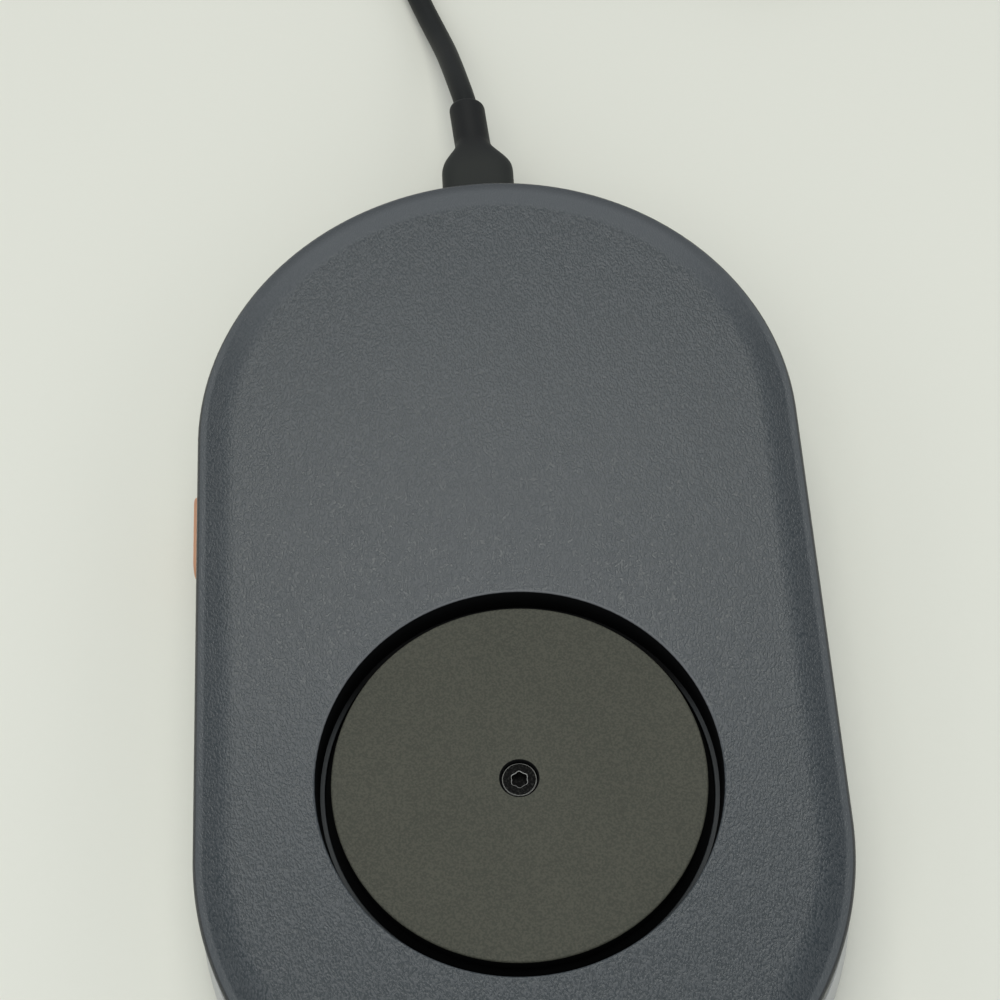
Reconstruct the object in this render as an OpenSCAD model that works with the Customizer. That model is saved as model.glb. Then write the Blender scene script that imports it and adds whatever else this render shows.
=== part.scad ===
// Turntable mouse jiggler: a racetrack-shaped case with a slowly turning disc sunk in its cover.
// Millimetres. +Z is up, +Y points to the cable end, and the origin lies on the table,
// below the middle of the case.

/* [Case] */
// Width across the straight sides of the cover
case_w = 80; // [79:0.5:86]
// Length of the cover from end to end
case_l = 138; // [136:1:150]
// Height of the cover's flat top above the table
case_h = 19; // [18.8:0.2:22]
// Height of the joint between cover and lower shell
joint_h = 11; // [10.8:0.1:11.6]
// Thickness of the cover's wall and roof
wall = 2; // [1.6:0.1:2.2]
// Thickness of the lower shell's floor
floor_t = 2; // [1.6:0.1:2.3]
// How far the lower shell flares out towards its base
flare = 0.85; // [0.3:0.05:1.4]
// Radius of the rounded rim of the cover
rim_r = 1; // [0.6:0.1:1.4]
// Width of the band in which the cover's top falls off towards its rim
crown_w = 4.4; // [3:0.1:6]
// How far the cover's top falls over that band
crown_drop = 0.65; // [0.2:0.05:0.8]
// Share of that band in which the top bends before it falls off straight
crown_bend = 0.4; // [0.2:0.05:0.8]
// Radius of the lower shell's bottom edge
base_r = 1.2; // [0.6:0.1:1.6]
// Height of the lip that locates the cover on the lower shell
lip_h = 1.2; // [0.8:0.1:1.6]
// Thickness of that lip
lip_t = 0.9; // [0.7:0.1:1]

/* [Feet] */
// Height that the rubber feet stand out below the lower shell
foot_h = 1; // [0.7:0.1:1.3]
// Diameter of a rubber foot
foot_d = 11; // [8:0.5:12]
// Depth of the recess that holds a foot
foot_sunk = 0.6; // [0.3:0.1:0.9]
// Distance of a foot from the middle line
foot_x = 28; // [24:0.5:29]
// Distance of a foot from the middle, along the case
foot_y = 36; // [32:0.5:37]

/* [Turntable] */
// Distance of the turntable's axis in front of the middle of the case
disc_y = 21.3; // [19.5:0.1:22]
// Diameter of the disc
disc_d = 46.1; // [42:0.1:46.6]
// Thickness of the disc
disc_t = 3.2; // [2.8:0.1:3.4]
// How far the disc lies below the cover's top
disc_drop = 0.9; // [0.6:0.1:1.1]
// Width of the gap between the disc and the well's mouth
well_gap = 1.9; // [1.6:0.05:2.6]
// How much narrower the well is at its ledge
well_draft = 0.65; // [0.3:0.05:0.9]
// Depth of the ledge round the well
ledge_drop = 4; // [3.6:0.1:4.4]
// Width of the gap between the disc and the ledge's inner edge
ledge_gap = 1; // [0.6:0.05:1.2]
// Depth of the well's floor
well_drop = 5; // [4.8:0.1:5.2]
// Thickness of the well's floor and wall
well_t = 1.5; // [1.2:0.1:1.7]
// Diameter of the hub below the disc
hub_d = 10; // [9:0.1:10.4]
// Diameter of the centre screw's head
head_d = 4.4; // [4:0.1:5]
// Height of the centre screw's head
head_h = 1.6; // [1.3:0.1:1.8]
// Depth of the centre screw's head below the face of the disc
head_sunk = 0.45; // [0.2:0.05:0.6]
// Thread diameter of the centre screw
screw_d = 2.5; // [2:0.1:2.6]
// Diameter of the spindle
spindle_d = 5; // [4.8:0.1:5.4]
// Width across the flats at the spindle's top
flats_w = 4; // [3.6:0.1:4.4]

/* [Gear train] */
// Module of all gears
gear_module = 0.5; // [0.48:0.01:0.51]
// Teeth of the gear on the spindle
drive_teeth = 56; // [52:1:57]
// Teeth of the second wheel
second_teeth = 42; // [38:1:44]
// Teeth of the first wheel
first_teeth = 36; // [32:1:38]
// Teeth of each moulded pinion
pinion_teeth = 14; // [13:1:15]
// Teeth of the brass pinion on the motor
motor_teeth = 12; // [12:1:14]
// Clearance between the heads of the plate's screws and the well
head_clear = 1.2; // [0.8:0.1:1.6]
// Diameter of the steel pins of the wheels
pin_d = 1.5; // [1.2:0.1:1.8]
// Thickness of the gear plate
plate_t = 1.5; // [1.2:0.1:1.8]
// Outside diameter of the spindle's bush
bush_d = 7.5; // [7:0.1:8]
// Running clearance of a shaft in its hole
run_gap = 0.03; // [0.02:0.01:0.06]

/* [Motor] */
// Diameter of the motor
motor_d = 20; // [18:0.5:20.5]
// Clearance between the motor and the cover's roof
motor_clear = 0.7; // [0.4:0.1:1.2]
// Diameter of the motor's shaft
shaft_d = 2; // [1.5:0.1:2.2]
// Distance between the screws of the motor's ears
ear_pitch = 25; // [25:0.5:28]

/* [Button] */
// Length of the push button
button_l = 12.1; // [9:0.1:13]
// Height of the push button
button_h = 4; // [3.4:0.1:4.2]
// Place of the button along the case, from the middle
button_y = 19.8; // [17.5:0.1:21]
// How far the button stands out of the shell
button_out = 1.06; // [0.8:0.02:1.3]
// Clearance round the button in its hole
button_gap = 0.2; // [0.15:0.05:0.3]

/* [Circuit board] */
// Height of the board above the shell's floor
board_lift = 2.2; // [1.8:0.1:2.4]
// Thickness of the board
board_t = 1.2; // [1:0.1:1.3]

/* [Plug at the case] */
// Width of the overmoulded grip
grip_w = 10.5; // [9.8:0.1:11.2]
// Height of the overmoulded grip
grip_h = 6.3; // [5.8:0.1:6.6]
// Diameter of the neck behind the grip
neck_d = 5.3; // [4.8:0.1:5.8]
// Width of the opening for the socket
port_w = 9.6; // [9.3:0.1:10]
// Height of the opening for the socket
port_h = 3.9; // [3.6:0.1:4.2]

/* [Plug at the far end] */
// Width of the far plug's grip
far_grip_w = 15.6; // [14:0.1:16.4]
// Height of the far plug's grip
far_grip_h = 7.6; // [7:0.1:7.8]
// Length of the far plug's grip
far_grip_l = 20; // [17:0.5:22]

/* [Hidden] */

$fn = 96;

// ---- screws: [head diameter, head height, shank diameter]
small_screw = [3.6, 1.2, 1.8];
case_screw = [4.8, 1.6, 2.4];

// ---- heights, from the table up; the wheels take the room that is left under the well
base_z = foot_h;
floor_z = base_z + floor_t;
roof_z = case_h - wall;
boss_h = 0.6;
boss_z = floor_z + boss_h;
layer_gap = 0.4;
wheel_lift = 0.2;
low_z = boss_z + wheel_lift;
well_z = case_h - well_drop;
ledge_z = case_h - ledge_drop;
gear_t = (well_z - well_t - head_clear - small_screw[1] - plate_t - low_z) / 2 - layer_gap;
high_z = low_z + gear_t + layer_gap;
plate_z = high_z + gear_t + layer_gap;
plate_top = plate_z + plate_t;
bush_flange = 0.6;
plate_boss = 1.1;
bush_top = plate_top + plate_boss + bush_flange;
disc_top = case_h - disc_drop;
disc_z = disc_top - disc_t;
hub_z = bush_top + 0.1;
motor_h = roof_z - motor_clear - plate_top;
board_z = floor_z + board_lift;
board_top = board_z + board_t;
port_z = board_top + 1.6;

// ---- plan sizes
straight = case_l - case_w;
end_y = straight / 2;
cover_r = case_w / 2;
cavity_r = cover_r - wall;
shell_top_r = cover_r + 0.15;
shell_base_r = shell_top_r + flare;
fit_gap = 0.1;
push_gap = 0.02;
screw_gap = 0.03;

// ---- turntable axis and the centres of the wheels, from their teeth
spindle_at = [0, -disc_y];
dir_second = 60;
dir_first = 120;
dir_motor = 60;
function toward(from, angle, teeth_a, teeth_b) =
    from + gear_module * (teeth_a + teeth_b) / 2 * [cos(angle), sin(angle)];
second_at = toward(spindle_at, dir_second, drive_teeth, pinion_teeth);
first_at = toward(second_at, dir_first, second_teeth, pinion_teeth);
motor_at = toward(first_at, dir_motor, first_teeth, motor_teeth);

// ---- posts and screws, placed from what they carry
drive_tip_r = gear_module * (drive_teeth / 2 + 1);
post_r = 2.5;
post_reach = drive_tip_r + post_r + 2.4;
plate_posts = [
    spindle_at + post_reach * [cos(218), sin(218)],
    spindle_at + post_reach * [cos(322), sin(322)],
    motor_at + (motor_d / 2 + post_r + 0.6) * [0, 1],
    second_at + (gear_module * (second_teeth / 2 + 1) + post_r + 2) * [cos(35), sin(35)],
    first_at + (gear_module * (first_teeth / 2 + 1) + post_r + 2.2) * [cos(210), sin(210)]
];
function near_wall(side, end, inset, angle) =
    [side * (cavity_r - inset) * cos(angle), end * (end_y + (cavity_r - inset) * sin(angle))];
case_posts = [
    near_wall(-1, -1, 4.2, 34), near_wall(1, -1, 4.2, 34), near_wall(1, 1, 6.2, 45), near_wall(-1, 1, 6.2, 45)
];

// ---- the board's edges: its left side and rear follow the case, its front the motor
rear_y = end_y + cavity_r;
board_left = -cavity_r + 4.5;
board_front = motor_at[1] + motor_d / 2 + 2 * post_r + 4.6;
board_posts = [[21.5, rear_y - 27.5], [board_left + 4.5, end_y + 5.5], [board_left + 11, motor_at[1] - 3]];
feet = [[-foot_x, -foot_y], [foot_x, -foot_y], [foot_x, foot_y], [-foot_x, foot_y]];

// ---- button and switch
function shell_r(z) = shell_top_r + flare * (joint_h - z) / (joint_h - base_z - base_r);
button_face = -(shell_r(port_z) + button_out);
button_flange_t = 1;
button_back = -cavity_r + fit_gap + button_flange_t;
switch_size = [4, 6.2, 3.4];
plunger_out = 1;
nub_l = 1.2;
plunger_face = button_back + nub_l;
switch_face = plunger_face + plunger_out;
button_travel = 0.5;

// ---- socket and plug at the case
port_x = -0.5;
socket_size = [8.94, 7.35, 3.2];
socket_mouth = end_y + cavity_r + 1.6;
socket_back = socket_mouth - socket_size[1];
tongue_t = 0.7;
grip_gap = 0.15;
grip_y = end_y + shell_r(port_z - grip_h / 2) + grip_gap;
grip_straight = 7.3;
shoulder_l = 6;
neck_y = grip_y + grip_straight + shoulder_l + 0.4;
neck_end = [-1.55, neck_y + 7, port_z - 0.1];

// ---- cord
cord_d = 3.4;
cord_sides = 8;
coil_sides = 6;
coil_at = [14, 168];
coil_turns = 9.25;
coil_rings = 24;
coil_pitch = 3.85;
coil_out_r = 27.8;
tie_t = 0.6;
coil_z = cord_d / 2 + tie_t + 0.05;
lead_route = [
    [-1.55, 90.6, 7.9], [-2, 93, 7.7], [-2.7, 96.6, 6.9], [-3.4, 100.4, 5.7], [-4.2, 104.4, 4.3],
    [-5.3, 108.6, 3.1], [-6.7, 113.2, 2.3], [-8.2, 118, 1.9], [-9.8, 123.2, 1.8], [-11.4, 130.5, 1.8],
    [-12.5, 138.1, 1.9], [-13.25, 145.7, 2.05], [-13.65, 153.3, 2.25], [-13.8, 159.5, 2.35],
    [-13.8, 164.6, 2.35]
];
tail_route = [
    [17.4, 195.8, 6.2], [21, 195.7, 6.2], [25, 195.1, 6.2], [29.2, 194, 6.1], [33, 192.3, 5.9],
    [36.6, 190, 5.6], [39.8, 187.2, 5.2], [42.6, 184, 4.8], [44.8, 180.6, 4.5], [46.5, 177, 4.2],
    [47.7, 173.2, 4], [48.3, 169.6, 3.9], [48.4, 166.6, 3.9], [48.4, 164.2, 3.9], [48.4, 162, 3.9]
];
far_end = [48.4, 162, 3.9];
far_neck_l = 8;
far_grip_y = far_end[1] - far_neck_l;
far_shell_y = far_grip_y - far_grip_l;
far_shell_l = 12;

// ======================================================================================
// Shared shapes
// ======================================================================================

// Carries a half profile, drawn at x >= 0, round the racetrack plan of the case.
module racetrack() {
    translate([0, end_y, 0]) rotate_extrude(angle = 180) children();
    translate([0, -end_y, 0]) rotate([0, 0, 180]) rotate_extrude(angle = 180) children();
    rotate([90, 0, 0]) linear_extrude(height = straight, center = true) {
        children();
        mirror([1, 0]) children();
    }
}

// Points of an arc round a centre, from one angle to another in equal steps.
function arc(centre, r, from, to, steps) =
    [for (i = [0:steps]) let (a = from + (to - from) * i / steps) centre + r * [cos(a), sin(a)]];

// A bar with round ends between two points of the plan.
module capsule(a, b, r) {
    run = b - a;
    translate(a) circle(r);
    translate(b) circle(r);
    translate(a) rotate(atan2(run[1], run[0])) translate([0, -r]) square([norm(run), 2 * r]);
}

// A convex outline, anticlockwise, whose edges and corners are set out by r.
function set_out(points, r) =
    [for (i = [0:len(points) - 1])
        let (a = points[i] - points[(i + len(points) - 1) % len(points)],
             b = points[(i + 1) % len(points)] - points[i],
             from = atan2(a[1], a[0]) - 90,
             turn = (atan2(b[1], b[0]) - atan2(a[1], a[0]) + 360) % 360)
        each arc(points[i], r, from, from + turn, 5)];

// A slot shape that lies along X, of the given overall length and height.
module pill(length, height) {
    half = (length - height) / 2;
    capsule([-half, 0], [half, 0], height / 2);
}

// A screw along -Z with its seat at z = 0: a round head with a cross recess, and a plain shank.
module screw(size, length) {
    difference() {
        cylinder(d = size[0], h = size[1]);
        for (a = [0, 90]) rotate(a)
            translate([-size[0] * 0.3, -size[0] * 0.07, size[1] * 0.45])
                cube([size[0] * 0.6, size[0] * 0.14, size[1]]);
    }
    translate([0, 0, -length]) cylinder(d = size[2], h = length + 0.01);
}

function unit(v) = v / norm(v);

// Rings round a path, each square to it, and the closed tube through them.
function path_dir(path, i) = unit(path[min(i + 1, len(path) - 1)] - path[max(i - 1, 0)]);
function ring_at(path, i, r, sides) =
    let (t = path_dir(path, i), s = unit(cross([0, 0, 1], t)), u = cross(t, s))
    [for (k = [0:sides - 1]) let (a = 360 * (k + 0.5) / sides)
        path[i] + r * cos(a) * s + r * sin(a) * u];
module tube(path, r, sides) {
    n = len(path);
    points = [for (i = [0:n - 1]) each ring_at(path, i, r, sides)];
    wall_faces = [for (i = [0:n - 2]) for (k = [0:sides - 1])
        let (a = i * sides + k, b = i * sides + (k + 1) % sides)
        each [[a, b, b + sides], [a, b + sides, a + sides]]];
    start = [for (k = [1:sides - 2]) [0, k + 1, k]];
    last = (n - 1) * sides;
    end = [for (k = [1:sides - 2]) [last, last + k, last + k + 1]];
    polyhedron(points, concat(wall_faces, start, end));
}

// A moulded grip: rounded sections [y, centre x, centre z, half width, half height, roundness]
// along Y, where a roundness of 2 is an ellipse and a higher one is boxier.
function section(s, sides) =
    [for (k = [0:sides - 1]) let (a = 360 * k / sides, e = 2 / s[5])
        [s[1] + s[3] * sign(cos(a)) * pow(abs(cos(a)), e), s[0],
         s[2] + s[4] * sign(sin(a)) * pow(abs(sin(a)), e)]];
module moulded(sections, sides = 32) {
    n = len(sections);
    points = [for (s = sections) each section(s, sides)];
    wall_faces = [for (i = [0:n - 2]) for (k = [0:sides - 1])
        let (a = i * sides + k, b = i * sides + (k + 1) % sides)
        each [[a, b + sides, b], [a, a + sides, b + sides]]];
    start = [for (k = [1:sides - 2]) [0, k, k + 1]];
    last = (n - 1) * sides;
    end = [for (k = [1:sides - 2]) [last, last + k + 1, last + k]];
    polyhedron(points, concat(wall_faces, start, end));
}

// ======================================================================================
// Gears: involute teeth, with the pinions' teeth drawn out a little and the wheels' drawn in
// ======================================================================================

pressure = 20;
backlash = 0.06;
tip_height = 0.9;
root_depth = 1.2;
shift = 0.25;
flank_steps = 3;

function turned(p, a) = [p[0] * cos(a) - p[1] * sin(a), p[0] * sin(a) + p[1] * cos(a)];
function inv_deg(a) = (tan(a) - a * PI / 180) * 180 / PI;
// Half the tooth's angle at radius r, where the base circle has the radius rb.
function half_tooth(teeth, x, rb, r) =
    90 / teeth + (2 * x * tan(pressure) - backlash / gear_module) / teeth * 180 / PI
    + inv_deg(pressure) - inv_deg(acos(min(1, rb / max(r, rb))));
function tooth_points(teeth, x) =
    let (rp = gear_module * teeth / 2, rb = rp * cos(pressure),
         ra = rp + gear_module * (tip_height + x), rf = rp - gear_module * (root_depth - x),
         low = max(rb, rf),
         rs = [for (i = [0:flank_steps]) low + (ra - low) * i / flank_steps],
         foot_half = half_tooth(teeth, x, rb, low),
         right = concat(rf < low ? [rf * [cos(foot_half), -sin(foot_half)]] : [],
             [for (r = rs) let (h = half_tooth(teeth, x, rb, r)) r * [cos(h), -sin(h)]]))
    concat(right, [for (i = [len(right) - 1:-1:0]) [right[i][0], -right[i][1]]]);
module toothed(teeth, x, phase) {
    tooth = tooth_points(teeth, x);
    polygon([for (i = [0:teeth - 1]) for (p = tooth) turned(p, phase + 360 * i / teeth)]);
}
module spur(teeth, x, phase, t) {
    linear_extrude(height = t) toothed(teeth, x, phase);
}

// A wheel with its pinion in one moulding, on a plain bore, with round holes in its web.
module compound_gear(at, teeth, wheel_z, pinion_z, pinion_t, wheel_phase, pinion_phase, holes) {
    web_r = gear_module * (teeth / 2 - root_depth - shift) - 1;
    hub_r = gear_module * (pinion_teeth / 2 + 1) + 0.5;
    hole_r = min(2.2, (web_r - hub_r) / 2 - 0.3);
    difference() {
        union() {
            translate([at[0], at[1], wheel_z]) difference() {
                spur(teeth, -shift, wheel_phase, gear_t);
                for (i = [0:holes - 1]) rotate(360 / holes * i)
                    translate([(web_r + hub_r) / 2, 0, -1]) cylinder(r = hole_r, h = gear_t + 2, $fn = 32);
            }
            translate([at[0], at[1], pinion_z]) spur(pinion_teeth, shift, pinion_phase, pinion_t);
        }
        translate([at[0], at[1], low_z - 1])
            cylinder(d = pin_d + 2 * run_gap, h = plate_top - low_z + 2, $fn = 32);
    }
}

// ======================================================================================
// Case
// ======================================================================================

// The cover's outside: drafted skirt, rounded rim, falling band and flat top.
function crown_fall(u) = u < crown_bend ? u * u / (2 * crown_bend) : u - crown_bend / 2;
function crown_z(r) =
    case_h - crown_drop * crown_fall(max(0, r - flat_r) / crown_w) / (1 - crown_bend / 2);
flat_r = cover_r - rim_r - crown_w;
bend_steps = 5;
rim_centre = [cover_r - rim_r - 0.05, crown_z(cover_r - rim_r) - rim_r];
module cover_profile() {
    polygon(concat(
        [[0, joint_h], [cover_r, joint_h]],
        arc(rim_centre, rim_r, 2, 76, 6),
        [for (i = [bend_steps:-1:0])
            let (r = flat_r + crown_w * crown_bend * i / bend_steps) [r, crown_z(r)]],
        [[0, case_h]]));
}
module cover_cavity() {
    soft = 1.5;
    polygon(concat(
        [[0, joint_h - 1], [cavity_r, joint_h - 1]],
        arc([cavity_r - soft, roof_z - soft], soft, 0, 90, 4),
        [[0, roof_z]]));
}
well_r = disc_d / 2 + well_gap;
ledge_r = disc_d / 2 + ledge_gap;
well_low_r = well_r - well_draft / 2;
well_wall_r = well_r + well_t;
hub_hole_r = hub_d / 2 + 0.5;
cover_boss_r = 3.2;
cover_boss_z = joint_h - 1.6;

module top_cover() {
    rebate_r = cavity_r + lip_t + fit_gap;
    color([0.35, 0.37, 0.39]) difference() {
        union() {
            difference() {
                racetrack() cover_profile();
                difference() {
                    racetrack() cover_cavity();
                    translate([0, -disc_y, well_z - well_t]) cylinder(r = well_wall_r, h = case_h);
                }
                racetrack() polygon([[cavity_r - 1, joint_h - 1], [rebate_r, joint_h - 1],
                    [rebate_r, joint_h + lip_h + 0.2], [cavity_r - 1, joint_h + lip_h + 0.2]]);
            }
            for (p = case_posts) translate([p[0], p[1], cover_boss_z]) cylinder(
                r = cover_boss_r, h = roof_z + 0.5 - cover_boss_z, $fn = 48);
            for (y = [end_y - 2, end_y + 14]) translate([-cavity_r * 0.72, y, roof_z - 0.6])
                cube([cavity_r * 1.44, 1, 1]);
        }
        well_pocket();
        for (p = case_posts) translate([p[0], p[1], cover_boss_z - 1])
            cylinder(d = case_screw[2] + 2 * screw_gap, h = roof_z - cover_boss_z - 0.4, $fn = 32);
    }
}

// The well: a rounded mouth, drafted wall, ledge, sunk floor and the hub's hole.
module well_pocket() {
    mouth = 0.3;
    translate([0, -disc_y, 0]) rotate_extrude() polygon(concat(
        [[0, well_z - well_t - 1], [hub_hole_r, well_z - well_t - 1], [hub_hole_r, well_z],
         [ledge_r, well_z], [ledge_r, ledge_z - 0.15], [ledge_r + 0.15, ledge_z],
         [well_low_r, ledge_z]],
        arc([well_r + mouth, case_h - mouth], mouth, 180, 90, 3),
        [[well_r + mouth, case_h + 1], [0, case_h + 1]]));
}

shell_boss_r = 3.6;
shell_boss_top = cover_boss_z - fit_gap;
screw_seat_z = base_z + 2.4;
case_screw_l = roof_z - screw_seat_z - 3.6;
module shell_profile() {
    polygon(concat(
        [[0, base_z]],
        arc([shell_base_r - base_r, base_z + base_r], base_r, -90, 0, 5),
        [[shell_top_r, joint_h], [0, joint_h]]));
}
module shell_cavity() {
    soft = 0.8;
    polygon(concat(
        [[0, joint_h + lip_h + 1], [0, floor_z]],
        arc([cavity_r - soft, floor_z + soft], soft, -90, 0, 4),
        [[cavity_r, joint_h + lip_h + 1]]));
}
module lower_shell() {
    color([0.72, 0.73, 0.72]) difference() {
        union() {
            difference() {
                union() {
                    racetrack() shell_profile();
                    racetrack() polygon([[0, joint_h - 1], [cavity_r + lip_t, joint_h - 1],
                        [cavity_r + lip_t, joint_h + lip_h], [0, joint_h + lip_h]]);
                }
                racetrack() shell_cavity();
            }
            shell_posts();
        }
        for (p = case_posts) translate([p[0], p[1], 0]) {
            cylinder(d = case_screw[0] + 0.6, h = screw_seat_z, $fn = 48);
            cylinder(d = case_screw[2] + 0.4, h = joint_h, $fn = 32);
        }
        for (p = feet) translate([p[0], p[1], 0])
            cylinder(d = foot_d + 0.2, h = base_z + foot_sunk, $fn = 64);
        for (p = plate_posts) post_hole(p, plate_z);
        for (p = board_posts) post_hole(p, board_z);
        for (p = [second_at, first_at]) translate([p[0], p[1], base_z + 0.8])
            cylinder(d = pin_d + 2 * push_gap, h = 9, $fn = 32);
        translate([spindle_at[0], spindle_at[1], base_z + 0.8])
            cylinder(d = journal_d + 2 * run_gap, h = 9, $fn = 48);
        side_openings();
    }
}
// The screw posts and the bosses that rise from the floor.
module shell_posts() {
    for (p = case_posts) rise(p, shell_boss_r, shell_boss_top);
    for (p = plate_posts) rise(p, post_r, plate_z);
    for (p = board_posts) rise(p, 2.4, board_z);
    for (p = [second_at, first_at]) rise(p, pin_d / 2 + 1.2, boss_z);
    rise(spindle_at, journal_d / 2 + 1.6, boss_z);
    translate([port_x - 3, socket_back + 1, floor_z - 0.5]) cube([6, 1.4, board_z - floor_z + 0.5]);
    for (x = [-1, 1]) translate([x * 31 - 0.6, -end_y - 6, floor_z - 0.5]) cube([1.2, 18, 2]);
}
module rise(at, r, top) {
    translate([at[0], at[1], base_z + 0.5]) cylinder(r = r, h = top - base_z - 0.5, $fn = 48);
}
module post_hole(at, top) {
    translate([at[0], at[1], top - 4.2]) cylinder(d = small_screw[2] + 2 * screw_gap, h = 9, $fn = 32);
}
// The holes for the button in the left wall and for the socket in the rear wall.
module side_openings() {
    translate([-cavity_r + 1, button_y, port_z]) rotate([90, 0, -90])
        linear_extrude(height = 9) pill(button_l + 2 * button_gap, button_h + 2 * button_gap);
    translate([port_x, end_y + cavity_r + 9, port_z]) rotate([90, 0, 0])
        linear_extrude(height = 10) pill(port_w, port_h);
}

module rubber_feet() {
    color([0.13, 0.13, 0.13]) for (p = feet) translate([p[0], p[1], 0]) {
        cylinder(d1 = foot_d - 0.8, d2 = foot_d, h = 0.4, $fn = 64);
        translate([0, 0, 0.4]) cylinder(d = foot_d, h = base_z + foot_sunk - 0.4, $fn = 64);
    }
}

module case_screws() {
    color([0.6, 0.6, 0.62]) for (p = case_posts) translate([p[0], p[1], screw_seat_z])
        rotate([180, 0, 0]) screw(case_screw, case_screw_l);
}

// ======================================================================================
// Turntable
// ======================================================================================

journal_d = 3;
head_z = disc_top - head_sunk - head_h;
socket_top = head_z - 1.4;

module turntable_disc() {
    edge = 0.25;
    color([0.3, 0.3, 0.27]) translate([0, -disc_y, 0]) difference() {
        union() {
            rotate_extrude() polygon([[0, disc_z], [disc_d / 2 - 0.6, disc_z],
                [disc_d / 2, disc_z + 0.6], [disc_d / 2, disc_top - edge],
                [disc_d / 2 - edge * 0.3, disc_top - edge * 0.3], [disc_d / 2 - edge, disc_top],
                [0, disc_top]]);
            translate([0, 0, hub_z]) cylinder(d = hub_d, h = disc_z - hub_z + 0.5);
        }
        translate([0, 0, head_z]) cylinder(d = head_d + 0.5, h = 9, $fn = 48);
        translate([0, 0, hub_z - 1]) cylinder(d = screw_d + 0.3, h = case_h, $fn = 32);
        translate([0, 0, hub_z - 1]) linear_extrude(height = socket_top - hub_z + 1)
            flatted(spindle_d + 2 * push_gap, flats_w + 2 * push_gap);
        difference() {
            translate([0, 0, disc_z - 1]) cylinder(r = disc_d / 2 - 2, h = 1.8);
            cylinder(d = hub_d, h = case_h);
            for (a = [0:60:300]) rotate(a) translate([0, -0.5, 0]) cube([disc_d / 2, 1, case_h]);
        }
    }
}

// A circle with two flats.
module flatted(d, across) {
    intersection() {
        circle(d = d);
        square([d + 1, across], center = true);
    }
}

// The six-lobed recess of the centre screw.
module lobed_recess(d) {
    difference() {
        circle(d = d, $fn = 48);
        for (a = [30:60:330]) rotate(a) translate([d * 0.55, 0]) circle(r = d * 0.17, $fn = 24);
    }
}

module disc_screw() {
    color([0.16, 0.16, 0.15]) translate([0, -disc_y, head_z]) {
        difference() {
            rotate_extrude() polygon([[0, 0], [head_d / 2, 0], [head_d / 2, head_h - 0.22],
                [head_d / 2 - 0.22, head_h], [0, head_h]]);
            translate([0, 0, head_h - 1]) linear_extrude(height = 2) lobed_recess(head_d * 0.48);
        }
        translate([0, 0, -disc_screw_l])
            cylinder(d = screw_d - 2 * screw_gap, h = disc_screw_l + 0.01, $fn = 32);
    }
}
disc_screw_l = 6;

module spindle() {
    top = socket_top - 0.1;
    color([0.75, 0.75, 0.76]) translate([0, -disc_y, 0]) difference() {
        union() {
            translate([0, 0, base_z + 1]) cylinder(d = journal_d, h = boss_z - base_z - 0.6, $fn = 48);
            translate([0, 0, boss_z + 0.1]) cylinder(d = spindle_d, h = top - boss_z - 0.1, $fn = 64);
        }
        for (s = [-1, 1]) translate([-spindle_d, s * (flats_w + spindle_d) / 2 - spindle_d / 2, hub_z - 0.1])
            cube([2 * spindle_d, spindle_d, case_h]);
        translate([0, 0, head_z - disc_screw_l - 0.5]) cylinder(d = screw_d, h = case_h, $fn = 32);
    }
}

module spindle_bush() {
    color([0.78, 0.62, 0.3]) translate([0, -disc_y, 0]) difference() {
        union() {
            translate([0, 0, plate_z]) cylinder(d = bush_d, h = bush_top - plate_z - 0.1, $fn = 64);
            translate([0, 0, bush_top - bush_flange]) cylinder(d = bush_d + 2, h = bush_flange, $fn = 64);
        }
        translate([0, 0, plate_z - 1]) cylinder(d = spindle_d + 2 * run_gap, h = case_h, $fn = 64);
    }
}

module drive_gear() {
    web_in = spindle_d / 2 + 2.4;
    web_out = gear_module * (drive_teeth / 2 - root_depth - shift) - 1.2;
    hole_r = (web_out - web_in) / 2 - 0.5;
    color([0.9, 0.9, 0.86]) translate([0, -disc_y, 0]) difference() {
        union() {
            translate([0, 0, high_z]) difference() {
                spur(drive_teeth, -shift, dir_second, gear_t);
                for (a = [0:60:300]) rotate(a) translate([(web_in + web_out) / 2, 0, -1])
                    cylinder(r = hole_r, h = gear_t + 2, $fn = 48);
            }
            translate([0, 0, low_z]) cylinder(r = spindle_d / 2 + 1.8, h = high_z - low_z + 0.5, $fn = 64);
        }
        translate([0, 0, low_z - 1]) cylinder(d = spindle_d + 2 * push_gap, h = case_h, $fn = 64);
    }
}

// ======================================================================================
// Gear train and motor
// ======================================================================================

module second_gear() {
    color([0.92, 0.92, 0.9]) compound_gear(second_at, second_teeth, low_z, low_z + gear_t - 0.2,
        high_z + gear_t - low_z - gear_t + 0.2, dir_first, dir_second + 180 + 180 / pinion_teeth, 5);
}
module first_gear() {
    color([0.92, 0.92, 0.9]) compound_gear(first_at, first_teeth, high_z, low_z,
        high_z - low_z + 0.2, dir_motor, dir_first + 180 + 180 / pinion_teeth, 4);
}
module gear_pins() {
    color([0.78, 0.78, 0.8]) for (p = [second_at, first_at]) translate([p[0], p[1], base_z + 0.9])
        cylinder(d = pin_d, h = plate_top - base_z - 0.9, $fn = 32);
}

pinion_z = high_z - 0.3;
module motor_pinion() {
    color([0.8, 0.66, 0.3]) translate([motor_at[0], motor_at[1], pinion_z]) difference() {
        spur(motor_teeth, shift, dir_motor + 180 + 180 / motor_teeth, gear_t + 0.4);
        translate([0, 0, -1]) cylinder(d = shaft_d + 2 * push_gap, h = gear_t + 3, $fn = 32);
    }
}
module motor_shaft() {
    color([0.75, 0.75, 0.76]) translate([motor_at[0], motor_at[1], pinion_z - 0.3])
        cylinder(d = shaft_d, h = plate_top + motor_h - 1 - pinion_z, $fn = 32);
}

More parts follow.
